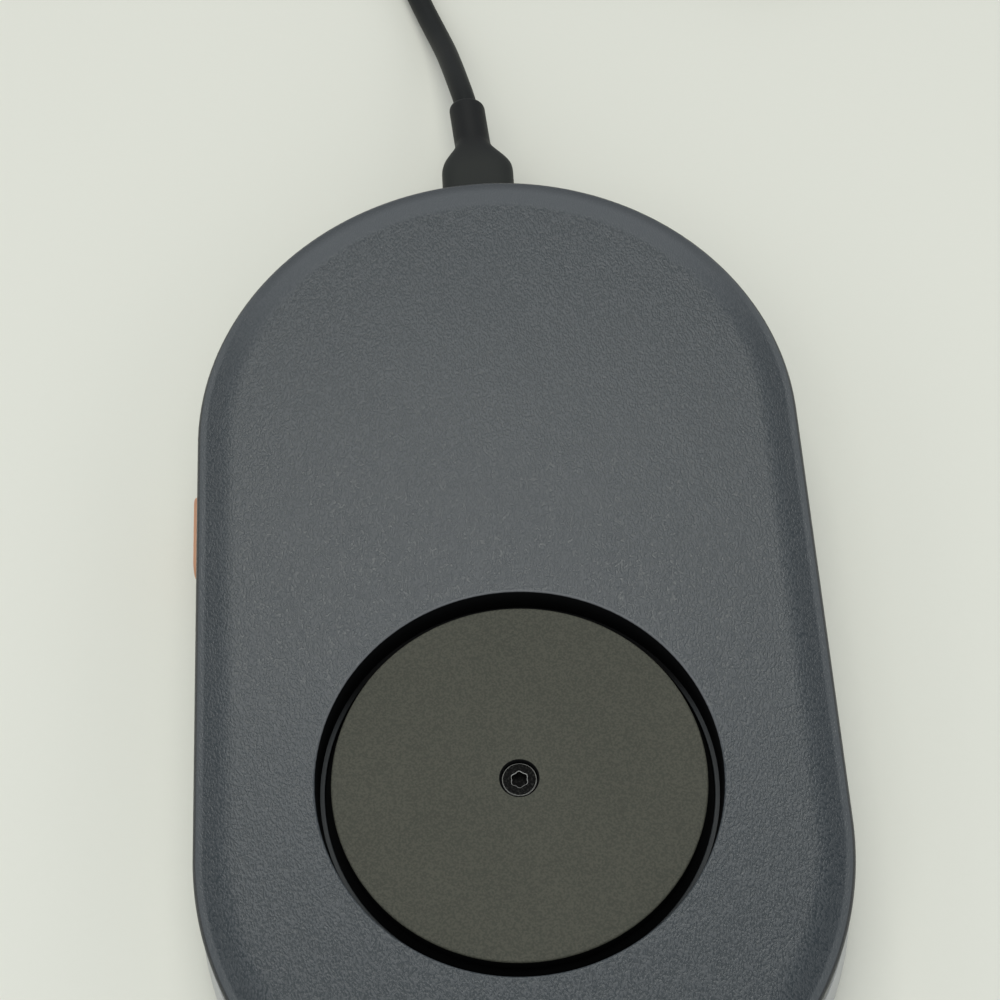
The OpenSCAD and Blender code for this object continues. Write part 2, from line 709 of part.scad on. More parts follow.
plate_rim = 3.6;
module gear_plate() {
    color([0.22, 0.22, 0.23]) difference() {
        union() {
            translate([0, 0, plate_z]) linear_extrude(height = plate_t)
                polygon(set_out([for (i = [0, 1, 3, 2, 4]) plate_posts[i]], plate_rim));
            translate([0, -disc_y, plate_top - 0.5]) cylinder(d = bush_d + 2.4, h = plate_boss + 0.5);
            for (i = [0:1]) rib(spindle_at, plate_posts[i], bush_d / 2 + 1);
            rib(spindle_at, plate_posts[4], bush_d / 2 + 1);
        }
        for (p = plate_posts) translate([p[0], p[1], plate_z - 1])
            cylinder(d = small_screw[2] + 0.3, h = plate_t + 2, $fn = 32);
        for (p = [second_at, first_at]) translate([p[0], p[1], plate_z - 1])
            cylinder(d = pin_d + 2 * push_gap, h = plate_t + 2, $fn = 32);
        for (s = [-1, 1]) translate([motor_at[0] + s * ear_pitch / 2, motor_at[1], plate_z - 1])
            cylinder(d = small_screw[2] + 2 * screw_gap, h = plate_t + 2, $fn = 32);
        translate([motor_at[0], motor_at[1], plate_z - 1]) cylinder(d = motor_boss_d + 0.2, h = plate_t + 2);
        translate([0, -disc_y, plate_z - 1]) cylinder(d = bush_d + 2 * push_gap, h = 9);
    }
}
// A stiffening rib on top of the plate, from near one point to near another.
module rib(a, b, start) {
    run = b - a;
    translate([a[0], a[1], plate_top - 0.3]) rotate(atan2(run[1], run[0]))
        translate([start - 0.6, -0.5, 0]) cube([norm(run) - start - 2.4, 1, 0.9]);
}

module plate_screws() {
    color([0.6, 0.6, 0.62]) for (p = plate_posts) translate([p[0], p[1], plate_top])
        screw(small_screw, 4.5);
}

motor_boss_d = 6;
flange_t = 0.8;
module motor_can() {
    color([0.7, 0.71, 0.72]) translate([motor_at[0], motor_at[1], plate_top + flange_t]) difference() {
        rotate_extrude() polygon(concat([[0, 0], [motor_d / 2, 0]],
            arc([motor_d / 2 - 1, motor_h - flange_t - 1], 1, 0, 90, 4), [[0, motor_h - flange_t]]));
        translate([0, 0, -1]) cylinder(d = shaft_d + 2 * run_gap, h = motor_h - flange_t - 0.2, $fn = 32);
        translate([0, 0, motor_h - flange_t - 0.3]) difference() {
            cylinder(d = motor_d * 0.55, h = 1);
            cylinder(d = motor_d * 0.4, h = 3, center = true);
        }
    }
}
module motor_flange() {
    color([0.62, 0.63, 0.64]) translate([motor_at[0], motor_at[1], plate_top]) difference() {
        union() {
            linear_extrude(height = flange_t) {
                circle(d = motor_d);
                capsule([-ear_pitch / 2, 0], [ear_pitch / 2, 0], 2.8);
            }
            translate([0, 0, -1]) cylinder(d = motor_boss_d, h = 1.2);
        }
        translate([0, 0, -2]) cylinder(d = shaft_d + 2 * run_gap, h = 5, $fn = 32);
        for (s = [-1, 1]) translate([s * ear_pitch / 2, 0, -1])
            cylinder(d = small_screw[2] + 0.3, h = 3, $fn = 32);
    }
}
module motor_screws() {
    color([0.6, 0.6, 0.62]) for (s = [-1, 1])
        translate([motor_at[0] + s * ear_pitch / 2, motor_at[1], plate_top + flange_t])
            screw(small_screw, 2.2);
}

// Four leads side by side, from the motor's side to the connector on the board.
lead_d = 0.9;
lead_step = 1;
connector_at = [motor_at[0] + 1.5, board_front + 5.3];
header_size = [8, 4.4, 3];
module motor_leads() {
    exit_y = motor_at[1] + motor_d / 2;
    for (i = [0:3]) {
        x0 = motor_at[0] + (i - 1.5) * lead_step;
        x1 = connector_at[0] + (i - 1.5) * lead_step * 1.4;
        y1 = connector_at[1] - header_size[1] / 2;
        z0 = plate_top + 3.4;
        z1 = board_top + header_size[2] / 2 + 0.4;
        color([[0.75, 0.1, 0.08], [0.85, 0.75, 0.1], [0.1, 0.2, 0.6], [0.12, 0.12, 0.12]][i])
            tube([[x0, exit_y - 0.1, z0], [x0, exit_y + 0.8, z0], [x0, exit_y + 2.5, z0 + 0.2],
                [x0, exit_y + 5.6, z0], [(x0 + x1) / 2, exit_y + 8.5, (z0 + z1) / 2 + 0.3],
                [x1, y1 - 2.6, z1 + 0.1], [x1, y1 - 1, z1], [x1, y1, z1]], lead_d / 2, 8);
    }
}

// ======================================================================================
// Circuit board and button
// ======================================================================================

board_end = rear_y - 1.9;
board_waist = rear_y - 22;
board_shoulder = rear_y - 12;
board_outline = [
    [board_left, motor_at[1] - 5.4], [board_left + 14.5, motor_at[1] - 5.4], [board_left + 14.5, board_front],
    [14, board_front], [14, rear_y - 31.5], [25, rear_y - 31.5], [25, rear_y - 23], [15, board_waist],
    [15, board_shoulder], [7, board_shoulder + 1], [7, board_end], [-7, board_end], [-7, board_shoulder + 1],
    [-15, board_shoulder], [-15, board_waist], [board_left + 5.5, rear_y - 23.5], [board_left, end_y + 6]
];
module circuit_board() {
    color([0.05, 0.3, 0.16]) difference() {
        translate([0, 0, board_z]) linear_extrude(height = board_t) polygon(board_outline);
        for (p = board_posts) translate([p[0], p[1], board_z - 1])
            cylinder(d = small_screw[2] + 0.3, h = board_t + 2, $fn = 32);
    }
}
module board_screws() {
    color([0.6, 0.6, 0.62]) for (p = board_posts) translate([p[0], p[1], board_top])
        screw(small_screw, 3.6);
}
chip_at = [-4, rear_y - 20];
module controller_chip() {
    color([0.1, 0.1, 0.1]) translate([chip_at[0], chip_at[1], board_top + 0.15]) difference() {
        translate([-4.9, -1.95, 0]) cube([9.8, 3.9, 1.5]);
        translate([-4, -1, 1.35]) cylinder(d = 0.8, h = 1, $fn = 24);
    }
}
module chip_legs() {
    color([0.8, 0.8, 0.82]) for (i = [0:7]) for (s = [-1, 1])
        translate([chip_at[0] + (i - 3.5) * 1.27, chip_at[1] + s * 2.48, board_top + 0.2])
            cube([0.4, 1.06, 0.4], center = true);
}
module storage_capacitor() {
    color([0.75, 0.76, 0.78]) translate([board_left + 9.5, end_y + 1, board_top]) {
        translate([-2.6, -2.6, 0]) cube([5.2, 5.2, 0.9]);
        cylinder(d = 5, h = 5.4, $fn = 48);
    }
}
// Middle points of the small parts: some by the socket, some between the header and the
// board's shoulder, one between the motor and the board's waist.
part_size = [2, 1.25, 0.8];
part_gap = 0.9;
header_rear = connector_at[1] + header_size[1] / 2 + 1;
header_side = (header_rear + board_shoulder) / 2;
small_parts = [
    [-12, rear_y - 16], [-8.5, rear_y - 15], [-24, rear_y - 31], [18, rear_y - 27],
    [-15, (board_front + board_waist) / 2], [6, header_side], [12, header_side],
    [9.5, header_rear + part_gap + part_size[1] / 2]
];
module small_components() {
    color([0.55, 0.45, 0.35]) for (p = small_parts)
        translate([p[0] - part_size[0] / 2, p[1] - part_size[1] / 2, board_top]) cube(part_size);
}
module lead_header() {
    color([0.9, 0.88, 0.8]) translate([connector_at[0], connector_at[1], board_top]) difference() {
        translate([-header_size[0] / 2, -header_size[1] / 2 + 1, 0]) cube(header_size + [0, 0, 0.8]);
        translate([-header_size[0] / 2 + 0.7, -header_size[1] / 2, 0.7])
            cube([header_size[0] - 1.4, header_size[1] - 0.4, header_size[2] + 1]);
    }
}
module lead_connector() {
    color([0.94, 0.93, 0.88]) translate([connector_at[0], connector_at[1], board_top])
        translate([-header_size[0] / 2 + 0.8, -header_size[1] / 2, 0.8])
            cube([header_size[0] - 1.6, header_size[1] - 0.8, header_size[2] - 0.5]);
}

module usb_socket() {
    wall_t = 0.3;
    color([0.75, 0.76, 0.78]) translate([port_x, socket_mouth, port_z]) rotate([90, 0, 0]) difference() {
        linear_extrude(height = socket_size[1]) pill(socket_size[0], socket_size[2]);
        translate([0, 0, -1]) linear_extrude(height = socket_size[1] - 0.2)
            pill(socket_size[0] - 2 * wall_t, socket_size[2] - 2 * wall_t);
    }
}
module socket_tongue() {
    color([0.12, 0.12, 0.12]) translate([port_x, socket_back + 1.22, port_z]) {
        translate([-3.3, 0, -tongue_t / 2]) cube([6.6, 5.2, tongue_t]);
        translate([0, 0.8, 0]) rotate([90, 0, 0]) linear_extrude(height = 0.8) pill(8.2, 2.5);
    }
}

switch_bore = [1.1, 2.2];
module side_switch() {
    color([0.15, 0.15, 0.15]) translate([switch_face, button_y, board_top]) difference() {
        translate([0, -switch_size[1] / 2, 0]) cube(switch_size);
        translate([-1, 0, port_z - board_top]) rotate([0, 90, 0])
            cylinder(r = switch_bore[0], h = switch_bore[1] + 1, $fn = 32);
    }
}
module switch_plunger() {
    color([0.6, 0.12, 0.1]) translate([plunger_face, button_y, port_z]) rotate([0, 90, 0])
        cylinder(r = switch_bore[0] - 0.06, h = plunger_out + switch_bore[1] - button_travel - 0.2, $fn = 32);
}
module mode_button() {
    bevel = 0.3;
    color([0.87, 0.5, 0.33]) translate([button_face, button_y, port_z]) rotate([90, 0, 90]) {
        linear_extrude(height = bevel) pill(button_l - 2 * bevel, button_h - 2 * bevel);
        translate([0, 0, bevel])
            linear_extrude(height = -cavity_r + fit_gap - button_face) pill(button_l, button_h);
        translate([0, 0, -cavity_r + fit_gap - button_face])
            linear_extrude(height = button_flange_t) pill(button_l + 2.4, button_h + 1.4);
        translate([0, 0, button_back - button_face - 0.01])
            linear_extrude(height = nub_l + 0.01) pill(4, 2);
    }
}

// ======================================================================================
// Cable
// ======================================================================================

module plug_tip() {
    color([0.75, 0.76, 0.78]) translate([port_x, grip_y, port_z]) rotate([90, 0, 0]) difference() {
        linear_extrude(height = 6.4) pill(8.2, 2.4);
        translate([0, 0, 1]) linear_extrude(height = 7) pill(7, 1.3);
    }
}

// The grip: boxy at the case, drawn in over a round shoulder to a thin neck that leans with the cord.
shoulder_steps = 6;
lean_from = neck_y - 5;
function lean(y) =
    port_x + (neck_end[0] - port_x) * pow(max(0, y - lean_from) / (neck_end[1] - lean_from), 0.9);
function shoulder(i, wide, thin) =
    let (u = i / shoulder_steps) thin + (wide - thin) * (0.5 + 0.5 * cos(180 * pow(u, 1.2)));
module plug_grip() {
    sections = concat(
        [[grip_y, port_x, port_z, grip_w / 2 - 0.4, grip_h / 2 - 0.4, 4],
         [grip_y + 0.4, port_x, port_z, grip_w / 2, grip_h / 2, 4],
         [grip_y + grip_straight - 2, port_x, port_z, grip_w / 2, grip_h / 2, 4]],
        [for (i = [0:shoulder_steps]) let (y = grip_y + grip_straight + shoulder_l * i / shoulder_steps)
            [y, lean(y), port_z, shoulder(i, grip_w, neck_d) / 2, shoulder(i, grip_h, neck_d * 0.98) / 2,
             4 - 1.8 * i / shoulder_steps]],
        [for (y = [neck_y + 1.8, neck_y + 4, neck_y + 5.8])
            [y, lean(y), port_z - 0.05, neck_d / 2, neck_d / 2, 2.2]],
        [[neck_end[1] - 0.4, lean(neck_end[1] - 0.4), neck_end[2], neck_d / 2 - 0.35, neck_d / 2 - 0.35, 2.1],
         [neck_end[1], neck_end[0], neck_end[2], neck_d / 2 - 0.85, neck_d / 2 - 0.85, 2]]);
    color([0.12, 0.12, 0.12]) moulded(sections);
}

// The coil: two layers of turns a step apart. The lower spirals in, the upper spirals out,
// and the tube climbs in the half turn where the spiral reverses.
layer_turns = coil_turns / 2;
coil_in_r = coil_out_r - coil_pitch * layer_turns;
function smooth(u) = let (v = min(1, max(0, u))) v * v * (3 - 2 * v);
function coil_point(t) =
    let (a = 180 - 360 * t, r = coil_in_r + coil_pitch * abs(t - layer_turns),
         z = coil_z + coil_pitch * smooth((t - layer_turns) * 2 + 0.5))
    [coil_at[0] + r * cos(a), coil_at[1] + r * sin(a), z];
coil_core = [for (i = [0:coil_turns * coil_rings]) coil_point(i / coil_rings)];
coil_first = coil_core[0];
coil_last = coil_core[len(coil_core) - 1];
coil_path = concat([coil_first - [0, cord_d, 0]], coil_core, [coil_last + [cord_d, 0, 0]]);
coil_gap = min([for (i = [0:len(coil_core) - 9]) min(
    [for (j = [i + 8:len(coil_core) - 1]) norm(coil_core[i] - coil_core[j])])]) - cord_d;
function length_of(path) = len(path) < 2 ? 0 :
    [for (i = 1, s = norm(path[1] - path[0]); i < len(path);
        i = i + 1, s = s + (i < len(path) ? norm(path[i] - path[i - 1]) : 0)) s][len(path) - 2];
echo(least_gap_of_coil = coil_gap);
echo(lengths = [length_of(lead_route), length_of(coil_path), length_of(tail_route)]);
echo(coil_ends = [coil_path[0], coil_path[len(coil_path) - 1]]);

module cord_lead() { color([0.12, 0.12, 0.12]) tube(lead_route, cord_d / 2, cord_sides); }
module cord_coil() { color([0.12, 0.12, 0.12]) tube(coil_path, cord_d / 2, coil_sides); }
module cord_tail() { color([0.12, 0.12, 0.12]) tube(tail_route, cord_d / 2, cord_sides); }

// The tie: a flat strap round the turns, at the side of the coil away from its ends.
module coil_tie() {
    strap_w = 5;
    ease = 0.1;
    reach_in = coil_in_r - cord_d / 2 - ease;
    reach_out = coil_in_r + coil_pitch * layer_turns + cord_d / 2 + ease;
    top = coil_z + coil_pitch + cord_d / 2 + ease;
    color([0.16, 0.16, 0.16]) translate([coil_at[0], coil_at[1], 0]) rotate(-60) difference() {
        translate([reach_in - tie_t, -strap_w / 2, 0])
            cube([reach_out - reach_in + 2 * tie_t, strap_w, top + tie_t]);
        translate([reach_in, -strap_w, tie_t]) cube([reach_out - reach_in, 2 * strap_w, top - tie_t]);
    }
}

module far_plug_grip() {
    x = far_end[0];
    z = far_end[2];
    w = far_grip_w / 2;
    h = far_grip_h / 2;
    sections = concat(
        [[far_end[1], x, z, 2.2, 2.2, 2], [far_end[1] - 0.6, x, z, 2.6, 2.6, 2],
         [far_grip_y + 1, x, z, 3.2, 2.9, 2.2]],
        [for (a = [0:15:90]) [far_grip_y - 3 * (1 - cos(a)), x, z, 3.4 + (w - 3.4) * sin(a),
            3 + (h - 3) * sin(a), 2.4 + 3 * sin(a)]],
        [[far_shell_y + 0.5, x, z, w, h, 5.4], [far_shell_y, x, z, w - 0.5, h - 0.5, 5]]);
    // The sections run towards -Y, so they are taken in reverse.
    color([0.12, 0.12, 0.12]) moulded([for (i = [len(sections) - 1:-1:0]) sections[i]]);
}
far_shell_size = [12, 4.5];
module far_plug_shell() {
    t = 0.35;
    color([0.78, 0.79, 0.8])
        translate([far_end[0], far_shell_y - far_shell_l / 2, far_end[2]]) difference() {
            cube([far_shell_size[0], far_shell_l, far_shell_size[1]], center = true);
            translate([0, -1, 0])
                cube([far_shell_size[0] - 2 * t, far_shell_l, far_shell_size[1] - 2 * t], center = true);
            for (s = [-1, 1]) translate([s * 2.8, 1, far_shell_size[1] / 2])
                cube([2.2, 2.2, 2], center = true);
        }
}
module far_plug_tongue() {
    color([0.92, 0.92, 0.92]) translate([far_end[0], far_shell_y - far_shell_l / 2 - 0.2, far_end[2] - 0.95])
        cube([far_shell_size[0] - 0.8, far_shell_l - 1.6, 1.8], center = true);
}

top_cover();
lower_shell();
rubber_feet();
case_screws();
turntable_disc();
disc_screw();
spindle();
spindle_bush();
drive_gear();
second_gear();
first_gear();
motor_pinion();
motor_shaft();
gear_pins();
gear_plate();
plate_screws();
motor_can();
motor_flange();
motor_screws();
motor_leads();
circuit_board();
board_screws();
controller_chip();
chip_legs();
storage_capacitor();
small_components();
lead_header();
lead_connector();
usb_socket();
socket_tongue();
side_switch();
switch_plunger();
mode_button();
plug_tip();
plug_grip();
cord_lead();
cord_coil();
coil_tie();
cord_tail();
far_plug_grip();
far_plug_shell();
far_plug_tongue();
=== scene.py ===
# Turntable mouse jiggler on a pale table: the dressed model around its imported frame.
# Metres. +Z is up, +Y points to the cable end, and the origin lies on the table below the case.

import bpy
import numpy as np
from mathutils import Matrix


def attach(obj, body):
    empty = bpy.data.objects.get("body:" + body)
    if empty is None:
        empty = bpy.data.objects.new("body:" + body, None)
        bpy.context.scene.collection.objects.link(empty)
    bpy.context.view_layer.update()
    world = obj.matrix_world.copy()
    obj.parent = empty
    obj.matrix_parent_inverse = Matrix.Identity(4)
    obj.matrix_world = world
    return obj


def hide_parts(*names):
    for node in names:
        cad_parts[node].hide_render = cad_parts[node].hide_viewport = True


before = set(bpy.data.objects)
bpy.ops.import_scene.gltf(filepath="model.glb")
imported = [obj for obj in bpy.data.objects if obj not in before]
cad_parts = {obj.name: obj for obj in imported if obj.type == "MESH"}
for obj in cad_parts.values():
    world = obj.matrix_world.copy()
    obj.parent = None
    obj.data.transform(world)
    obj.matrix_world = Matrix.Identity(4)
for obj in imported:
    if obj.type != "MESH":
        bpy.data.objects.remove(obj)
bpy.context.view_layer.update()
MM = 0.001

# ------------------------------------------------------------------------------------------
# Camera: above the near end of the case, looking down and away at about 61 degrees, with the
# long lens that the photograph's straight sides call for.

camera_at = (-0.002205, -0.121796, 0.272614)
camera_pitch, camera_yaw, camera_roll = 1.070, 0.014, -0.046
lens_mm, sensor_mm = 80.04, 36.0
ahead = np.array([np.sin(camera_yaw) * np.cos(camera_pitch),
                  np.cos(camera_yaw) * np.cos(camera_pitch), -np.sin(camera_pitch)])
level = np.array([np.cos(camera_yaw), -np.sin(camera_yaw), 0.0])
raised = np.cross(level, ahead)
right = np.cos(camera_roll) * level + np.sin(camera_roll) * raised
above = -np.sin(camera_roll) * level + np.cos(camera_roll) * raised

camera = bpy.data.objects.new("camera", bpy.data.cameras.new("camera"))
camera.data.sensor_fit = "HORIZONTAL"
camera.data.sensor_width = sensor_mm
camera.data.lens = lens_mm
camera.data.clip_start, camera.data.clip_end = 0.01, 20.0
pose = np.eye(4)
pose[:3, :3] = np.stack([right, above, -ahead], axis=1)
pose[:3, 3] = camera_at
camera.matrix_world = Matrix(pose.tolist())
bpy.context.scene.collection.objects.link(camera)
bpy.context.scene.camera = camera

# ------------------------------------------------------------------------------------------
# Table and light: a matt cream table top in a soft white room. A narrow window lamp behind the
# case is mirrored across the middle of the cover, and a wide ceiling lamp gives the soft shadow.


class Value:
    """A socket of a material, so that sums of values read as sums. Each operator adds a Math node."""

    def __init__(self, maker, socket):
        self.maker, self.socket = maker, socket

    def math(self, operation, *values):
        return self.maker.node("ShaderNodeMath", {"operation": operation}, *values)

    def __add__(self, other):
        return self.math("ADD", self, other)

    def __sub__(self, other):
        return self.math("SUBTRACT", self, other)

    def __rsub__(self, other):
        return self.math("SUBTRACT", other, self)

    def __mul__(self, other):
        return self.math("MULTIPLY", self, other)

    __radd__, __rmul__ = __add__, __mul__

    def power(self, exponent):
        return self.math("POWER", self, exponent)

    def most(self, other):
        return self.math("MAXIMUM", self, other)

    def unsigned(self):
        return self.math("ABSOLUTE", self)

    def to_and_fro(self, span):
        """Up from 0 to span and down again, over and over."""
        return self.math("PINGPONG", self, span)

    def between(self, low, high):
        """0 at low and below, 1 at high and above, smooth between."""
        return self.maker.node("ShaderNodeMapRange", {"interpolation_type": "SMOOTHSTEP"}, self,
                               float(low), float(high), 0.0, 1.0)


class Nodes:
    """The nodes of a material or a world: each method adds one and gives the value it makes."""

    def __init__(self, tree):
        self.tree = tree

    def feed(self, socket, value):
        """Links a value to a socket, or sets a number or a colour on it."""
        if isinstance(value, Value):
            self.tree.links.new(value.socket, socket)
        elif socket.type == "RGBA":
            socket.default_value = (*value, 1.0)
        else:
            socket.default_value = value

    def node(self, kind, settings, *values, output=0, **named):
        """Adds a node: its settings first, then its inputs in order and by name."""
        made = self.tree.nodes.new(kind)
        for key, value in settings.items():
            setattr(made, key, value)
        for place, value in [*enumerate(values), *named.items()]:
            if value is not None:
                self.feed(made.inputs[place], value)
        return Value(self, made.outputs[output])

    def part(self, vector, axis):
        return self.node("ShaderNodeSeparateXYZ", {}, vector, output="XYZ".index(axis))

    def part_mm(self, vector, axis):
        """The X, Y or Z of a place, in mm."""
        return self.part(vector, axis) * (1 / MM)

    def mixed(self, first, second, share):
        """One colour into another, by share."""
        return self.node("ShaderNodeMix", {"data_type": "RGBA"}, share, *[None] * 5, first, second, output=2)


class Finish(Nodes):
    """One material: a Principled shader whose sockets take numbers, colours and values."""

    def __init__(self, name, **constants):
        self.material = bpy.data.materials.new(name)
        self.material.use_nodes = True
        super().__init__(self.material.node_tree)
        self.tree.nodes.clear()
        out = self.tree.nodes.new("ShaderNodeOutputMaterial")
        self.shader = self.tree.nodes.new("ShaderNodeBsdfPrincipled")
        self.tree.links.new(self.shader.outputs[0], out.inputs[0])
        for socket, value in constants.items():
            self.set(socket.replace("_", " "), value)

    def set(self, socket, value):
        self.feed(self.shader.inputs[socket], value)

    def colour(self, first, second, share):
        """Base colour from first to second, by share."""
        self.set("Base Color", self.mixed(first, second, share))

    def bump(self, height, depth, strength=1.0):
        """Relief: height from 0 to 1 stands for depth metres."""
        normal = self.node("ShaderNodeBump", {}, Strength=strength, Distance=depth, Height=height)
        self.set("Normal", normal)

    def place(self):
        """Where a point of the piece is, in metres."""
        return self.node("ShaderNodeTexCoord", {}, output=3)

    def laid(self, vector, scale=(1, 1, 1), turn=(0, 0, 0), shift=(0, 0, 0)):
        return self.node("ShaderNodeMapping", {}, vector, shift, turn, scale)

    def noise(self, vector, size, detail=2.0, rough=0.5):
        """Cloudy noise from 0 to 1 whose features are about size metres apart."""
        return self.node("ShaderNodeTexNoise", {}, vector, None, 1.0 / size, detail, rough)

    def cells(self, vector, size, feature):
        """Cells about size metres apart, such as the distance to their edges."""
        return self.node("ShaderNodeTexVoronoi", {"feature": feature}, vector, None, 1.0 / size)


sharp_angle = np.radians(35)


def mesh_piece(name, points, faces, finish, body):
    """A mesh object from points in metres, smooth except along edges sharper than sharp_angle."""
    mesh = bpy.data.meshes.new(name)
    mesh.from_pydata(np.asarray(points, float).reshape(-1, 3), [], faces)
    mesh.validate()
    mesh.polygons.foreach_set("use_smooth", np.ones(len(mesh.polygons), bool))
    mesh.set_sharp_from_angle(angle=sharp_angle)
    mesh.materials.append(finish.material)
    piece = bpy.data.objects.new(name, mesh)
    bpy.context.scene.collection.objects.link(piece)
    if body:
        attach(piece, body)
    return piece


table_finish = Finish("table_top", Roughness=0.85, Specular_IOR_Level=0.15)
spot = table_finish.place()
cloud = table_finish.noise(spot, 0.35, 2.0)
fibre = table_finish.noise(spot, 0.0012, 3.0)
cream = table_finish.mixed((0.716, 0.714, 0.630), (0.754, 0.752, 0.678), cloud * 0.8 + fibre * 0.2)
# Painted shade: the table top turns darker towards the back, behind the case.
behind = table_finish.part(spot, "Y").between(-0.04, 0.20)
table_finish.colour(cream, (0.680, 0.676, 0.602), behind)
table_finish.bump(fibre, 0.00002)
table_half = 2.0
table_corners = [[-table_half, -table_half, 0], [table_half, -table_half, 0],
                 [table_half, table_half, 0], [-table_half, table_half, 0]]
table = mesh_piece("table_top", table_corners, [(0, 1, 2, 3)], table_finish, None)

room = bpy.data.worlds.new("room")
room.use_nodes = True
bpy.context.scene.world = room
backdrop = room.node_tree.nodes["Background"]
sky = Nodes(room.node_tree)
overhead = sky.part(sky.node("ShaderNodeTexCoord", {}), "Z").between(0.62, 0.80)
sky.feed(backdrop.inputs["Color"], sky.mixed((0.80, 0.83, 0.87), (0.20, 0.225, 0.26), overhead))


def soft_lamp(name, place, aim, width, depth, power, colour):
    """A rectangular lamp at place whose light falls towards aim."""
    lamp = bpy.data.objects.new(name, bpy.data.lights.new(name, "AREA"))
    lamp.data.shape, lamp.data.size, lamp.data.size_y = "RECTANGLE", width, depth
    lamp.data.energy, lamp.data.color = power, colour
    out = np.array(place, float) - aim
    out /= np.linalg.norm(out)
    side = np.cross([0, 1, 0.01], out)
    side /= np.linalg.norm(side)
    turn = np.eye(4)
    turn[:3, :3] = np.stack([side, np.cross(out, side), out], axis=1)
    turn[:3, 3] = place
    lamp.matrix_world = Matrix(turn.tolist())
    bpy.context.scene.collection.objects.link(lamp)


soft_lamp("window", place=(-0.03, 0.47, 0.95), aim=(0, 0, 0), width=0.60, depth=0.16, power=3.0,
          colour=(0.99, 1.0, 0.95))
soft_lamp("ceiling", place=(-0.15, -0.5, 1.35), aim=(0, 0, 0), width=1.4, depth=1.0, power=8.2,
          colour=(1.0, 1.0, 0.97))

bpy.context.scene.view_settings.view_transform = "Standard"

# ------------------------------------------------------------------------------------------
# Cord: a soft black round cord that leaves the plug to the left, falls to the table within
# three centimetres and runs out of view, where the rest lies coiled in a tie.

cord_d = 3.4 * MM
cord_sides = 18
lead_route = [
    (-1.55, 90.6, 7.9), (-2, 93, 7.7), (-2.7, 96.6, 6.9), (-3.4, 100.4, 5.7), (-4.2, 104.4, 4.3),
    (-5.3, 108.6, 3.1), (-6.7, 113.2, 2.3), (-8.2, 118, 1.9), (-9.8, 123.2, 1.8), (-11.4, 130.5, 1.8),
    (-12.5, 138.1, 1.9), (-13.25, 145.7, 2.05), (-13.65, 153.3, 2.25), (-13.8, 159.5, 2.35),
    (-13.8, 164.6, 2.35)]
tail_route = [
    (17.4, 195.8, 6.2), (21, 195.7, 6.2), (25, 195.1, 6.2), (29.2, 194, 6.1), (33, 192.3, 5.9),
    (36.6, 190, 5.6), (39.8, 187.2, 5.2), (42.6, 184, 4.8), (44.8, 180.6, 4.5), (46.5, 177, 4.2),
    (47.7, 173.2, 4), (48.3, 169.6, 3.9), (48.4, 166.6, 3.9), (48.4, 164.2, 3.9), (48.4, 162, 3.9)]
coil_at = (14.0, 168.0)
coil_turns, coil_pitch, coil_out_r, coil_low_z = 9.25, 3.85, 27.8, 2.35


def eased(share):
    """0 to 1 with a flat start and end: 3s^2 - 2s^3."""
    share = np.clip(share, 0.0, 1.0)
    return share * share * (3 - 2 * share)


def through(points, steps):
    """A Catmull-Rom curve through the points: between each two a cubic in steps stretches, whose
    slope at a point is half the way from the point before it to the one after it."""
    p = np.asarray(points, float)
    p = np.vstack([2 * p[0] - p[1], p, 2 * p[-1] - p[-2]])
    a, b, c, d = p[:-3, None], p[1:-2, None], p[2:-1, None], p[3:, None]
    t = (np.arange(steps) / steps)[None, :, None]
    curve = 0.5 * (2 * b + (c - a) * t + (2 * a - 5 * b + 4 * c - d) * t**2
                   + (3 * b - a - 3 * c + d) * t**3)
    return np.vstack([curve.reshape(-1, 3), p[-2]])


def coil_core(rings_a_turn):
    """The coil's middle line: the radius falls and grows again by a pitch a turn, clockwise, and
    the line climbs by a pitch in the half turn where the spiral reverses."""
    t = np.arange(int(coil_turns * rings_a_turn) + 1) / rings_a_turn
    half = coil_turns / 2
    angle = np.radians(180 - 360 * t)
    radius = coil_out_r - coil_pitch * half + coil_pitch * np.abs(t - half)
    return np.stack([coil_at[0] + radius * np.cos(angle), coil_at[1] + radius * np.sin(angle),
                     coil_low_z + coil_pitch * eased((t - half) * 2 + 0.5)], axis=1)


def tube(route, radius, sides):
    """Rings square to the route: route + radius (side cos a + lift sin a), where side is level and
    lift is square to it and to the way along the route."""
    way = np.gradient(route, axis=0)
    way /= np.linalg.norm(way, axis=1)[:, None]
    side = np.cross(way, [0, 0, 1.0])
    side /= np.linalg.norm(side, axis=1)[:, None]
    lift = np.cross(side, way)
    angle = 2 * np.pi * np.arange(sides) / sides
    return route[:, None] + radius * (np.cos(angle)[None, :, None] * side[:, None]
                                      + np.sin(angle)[None, :, None] * lift[:, None])


def stack_faces(rows, columns, closed, first, turned):
    """Quads over a stack of rings whose points count from first, facing out for rings that turn with
    the right hand along the stack. A stack that isn't closed to a loop gets two flat caps."""
    i = np.arange(rows if closed else rows - 1)[:, None]
    j = np.arange(columns)[None, :]
    i2, j2 = (i + 1) % rows, (j + 1) % columns
    corners = (i * columns + j, i * columns + j2, i2 * columns + j2, i2 * columns + j)
    faces = (np.stack(np.broadcast_arrays(*corners), axis=-1).reshape(-1, 4) + first).tolist()
    if not closed:
        last = first + (rows - 1) * columns
        faces += [list(range(first, first + columns))[::-1], list(range(last, last + columns))]
    return [f[::-1] for f in faces] if turned else faces


def joined(name, stacks, finish, body):
    """One object from several closed stacks of rings (rings, closed, turned)."""
    points, faces, first = [], [], 0
    for rings, closed, turned in stacks:
        faces += stack_faces(*rings.shape[:2], closed, first, turned)
        points.append(rings.reshape(-1, 3))
        first += rings.shape[0] * rings.shape[1]
    return mesh_piece(name, np.vstack(points), faces, finish, body)


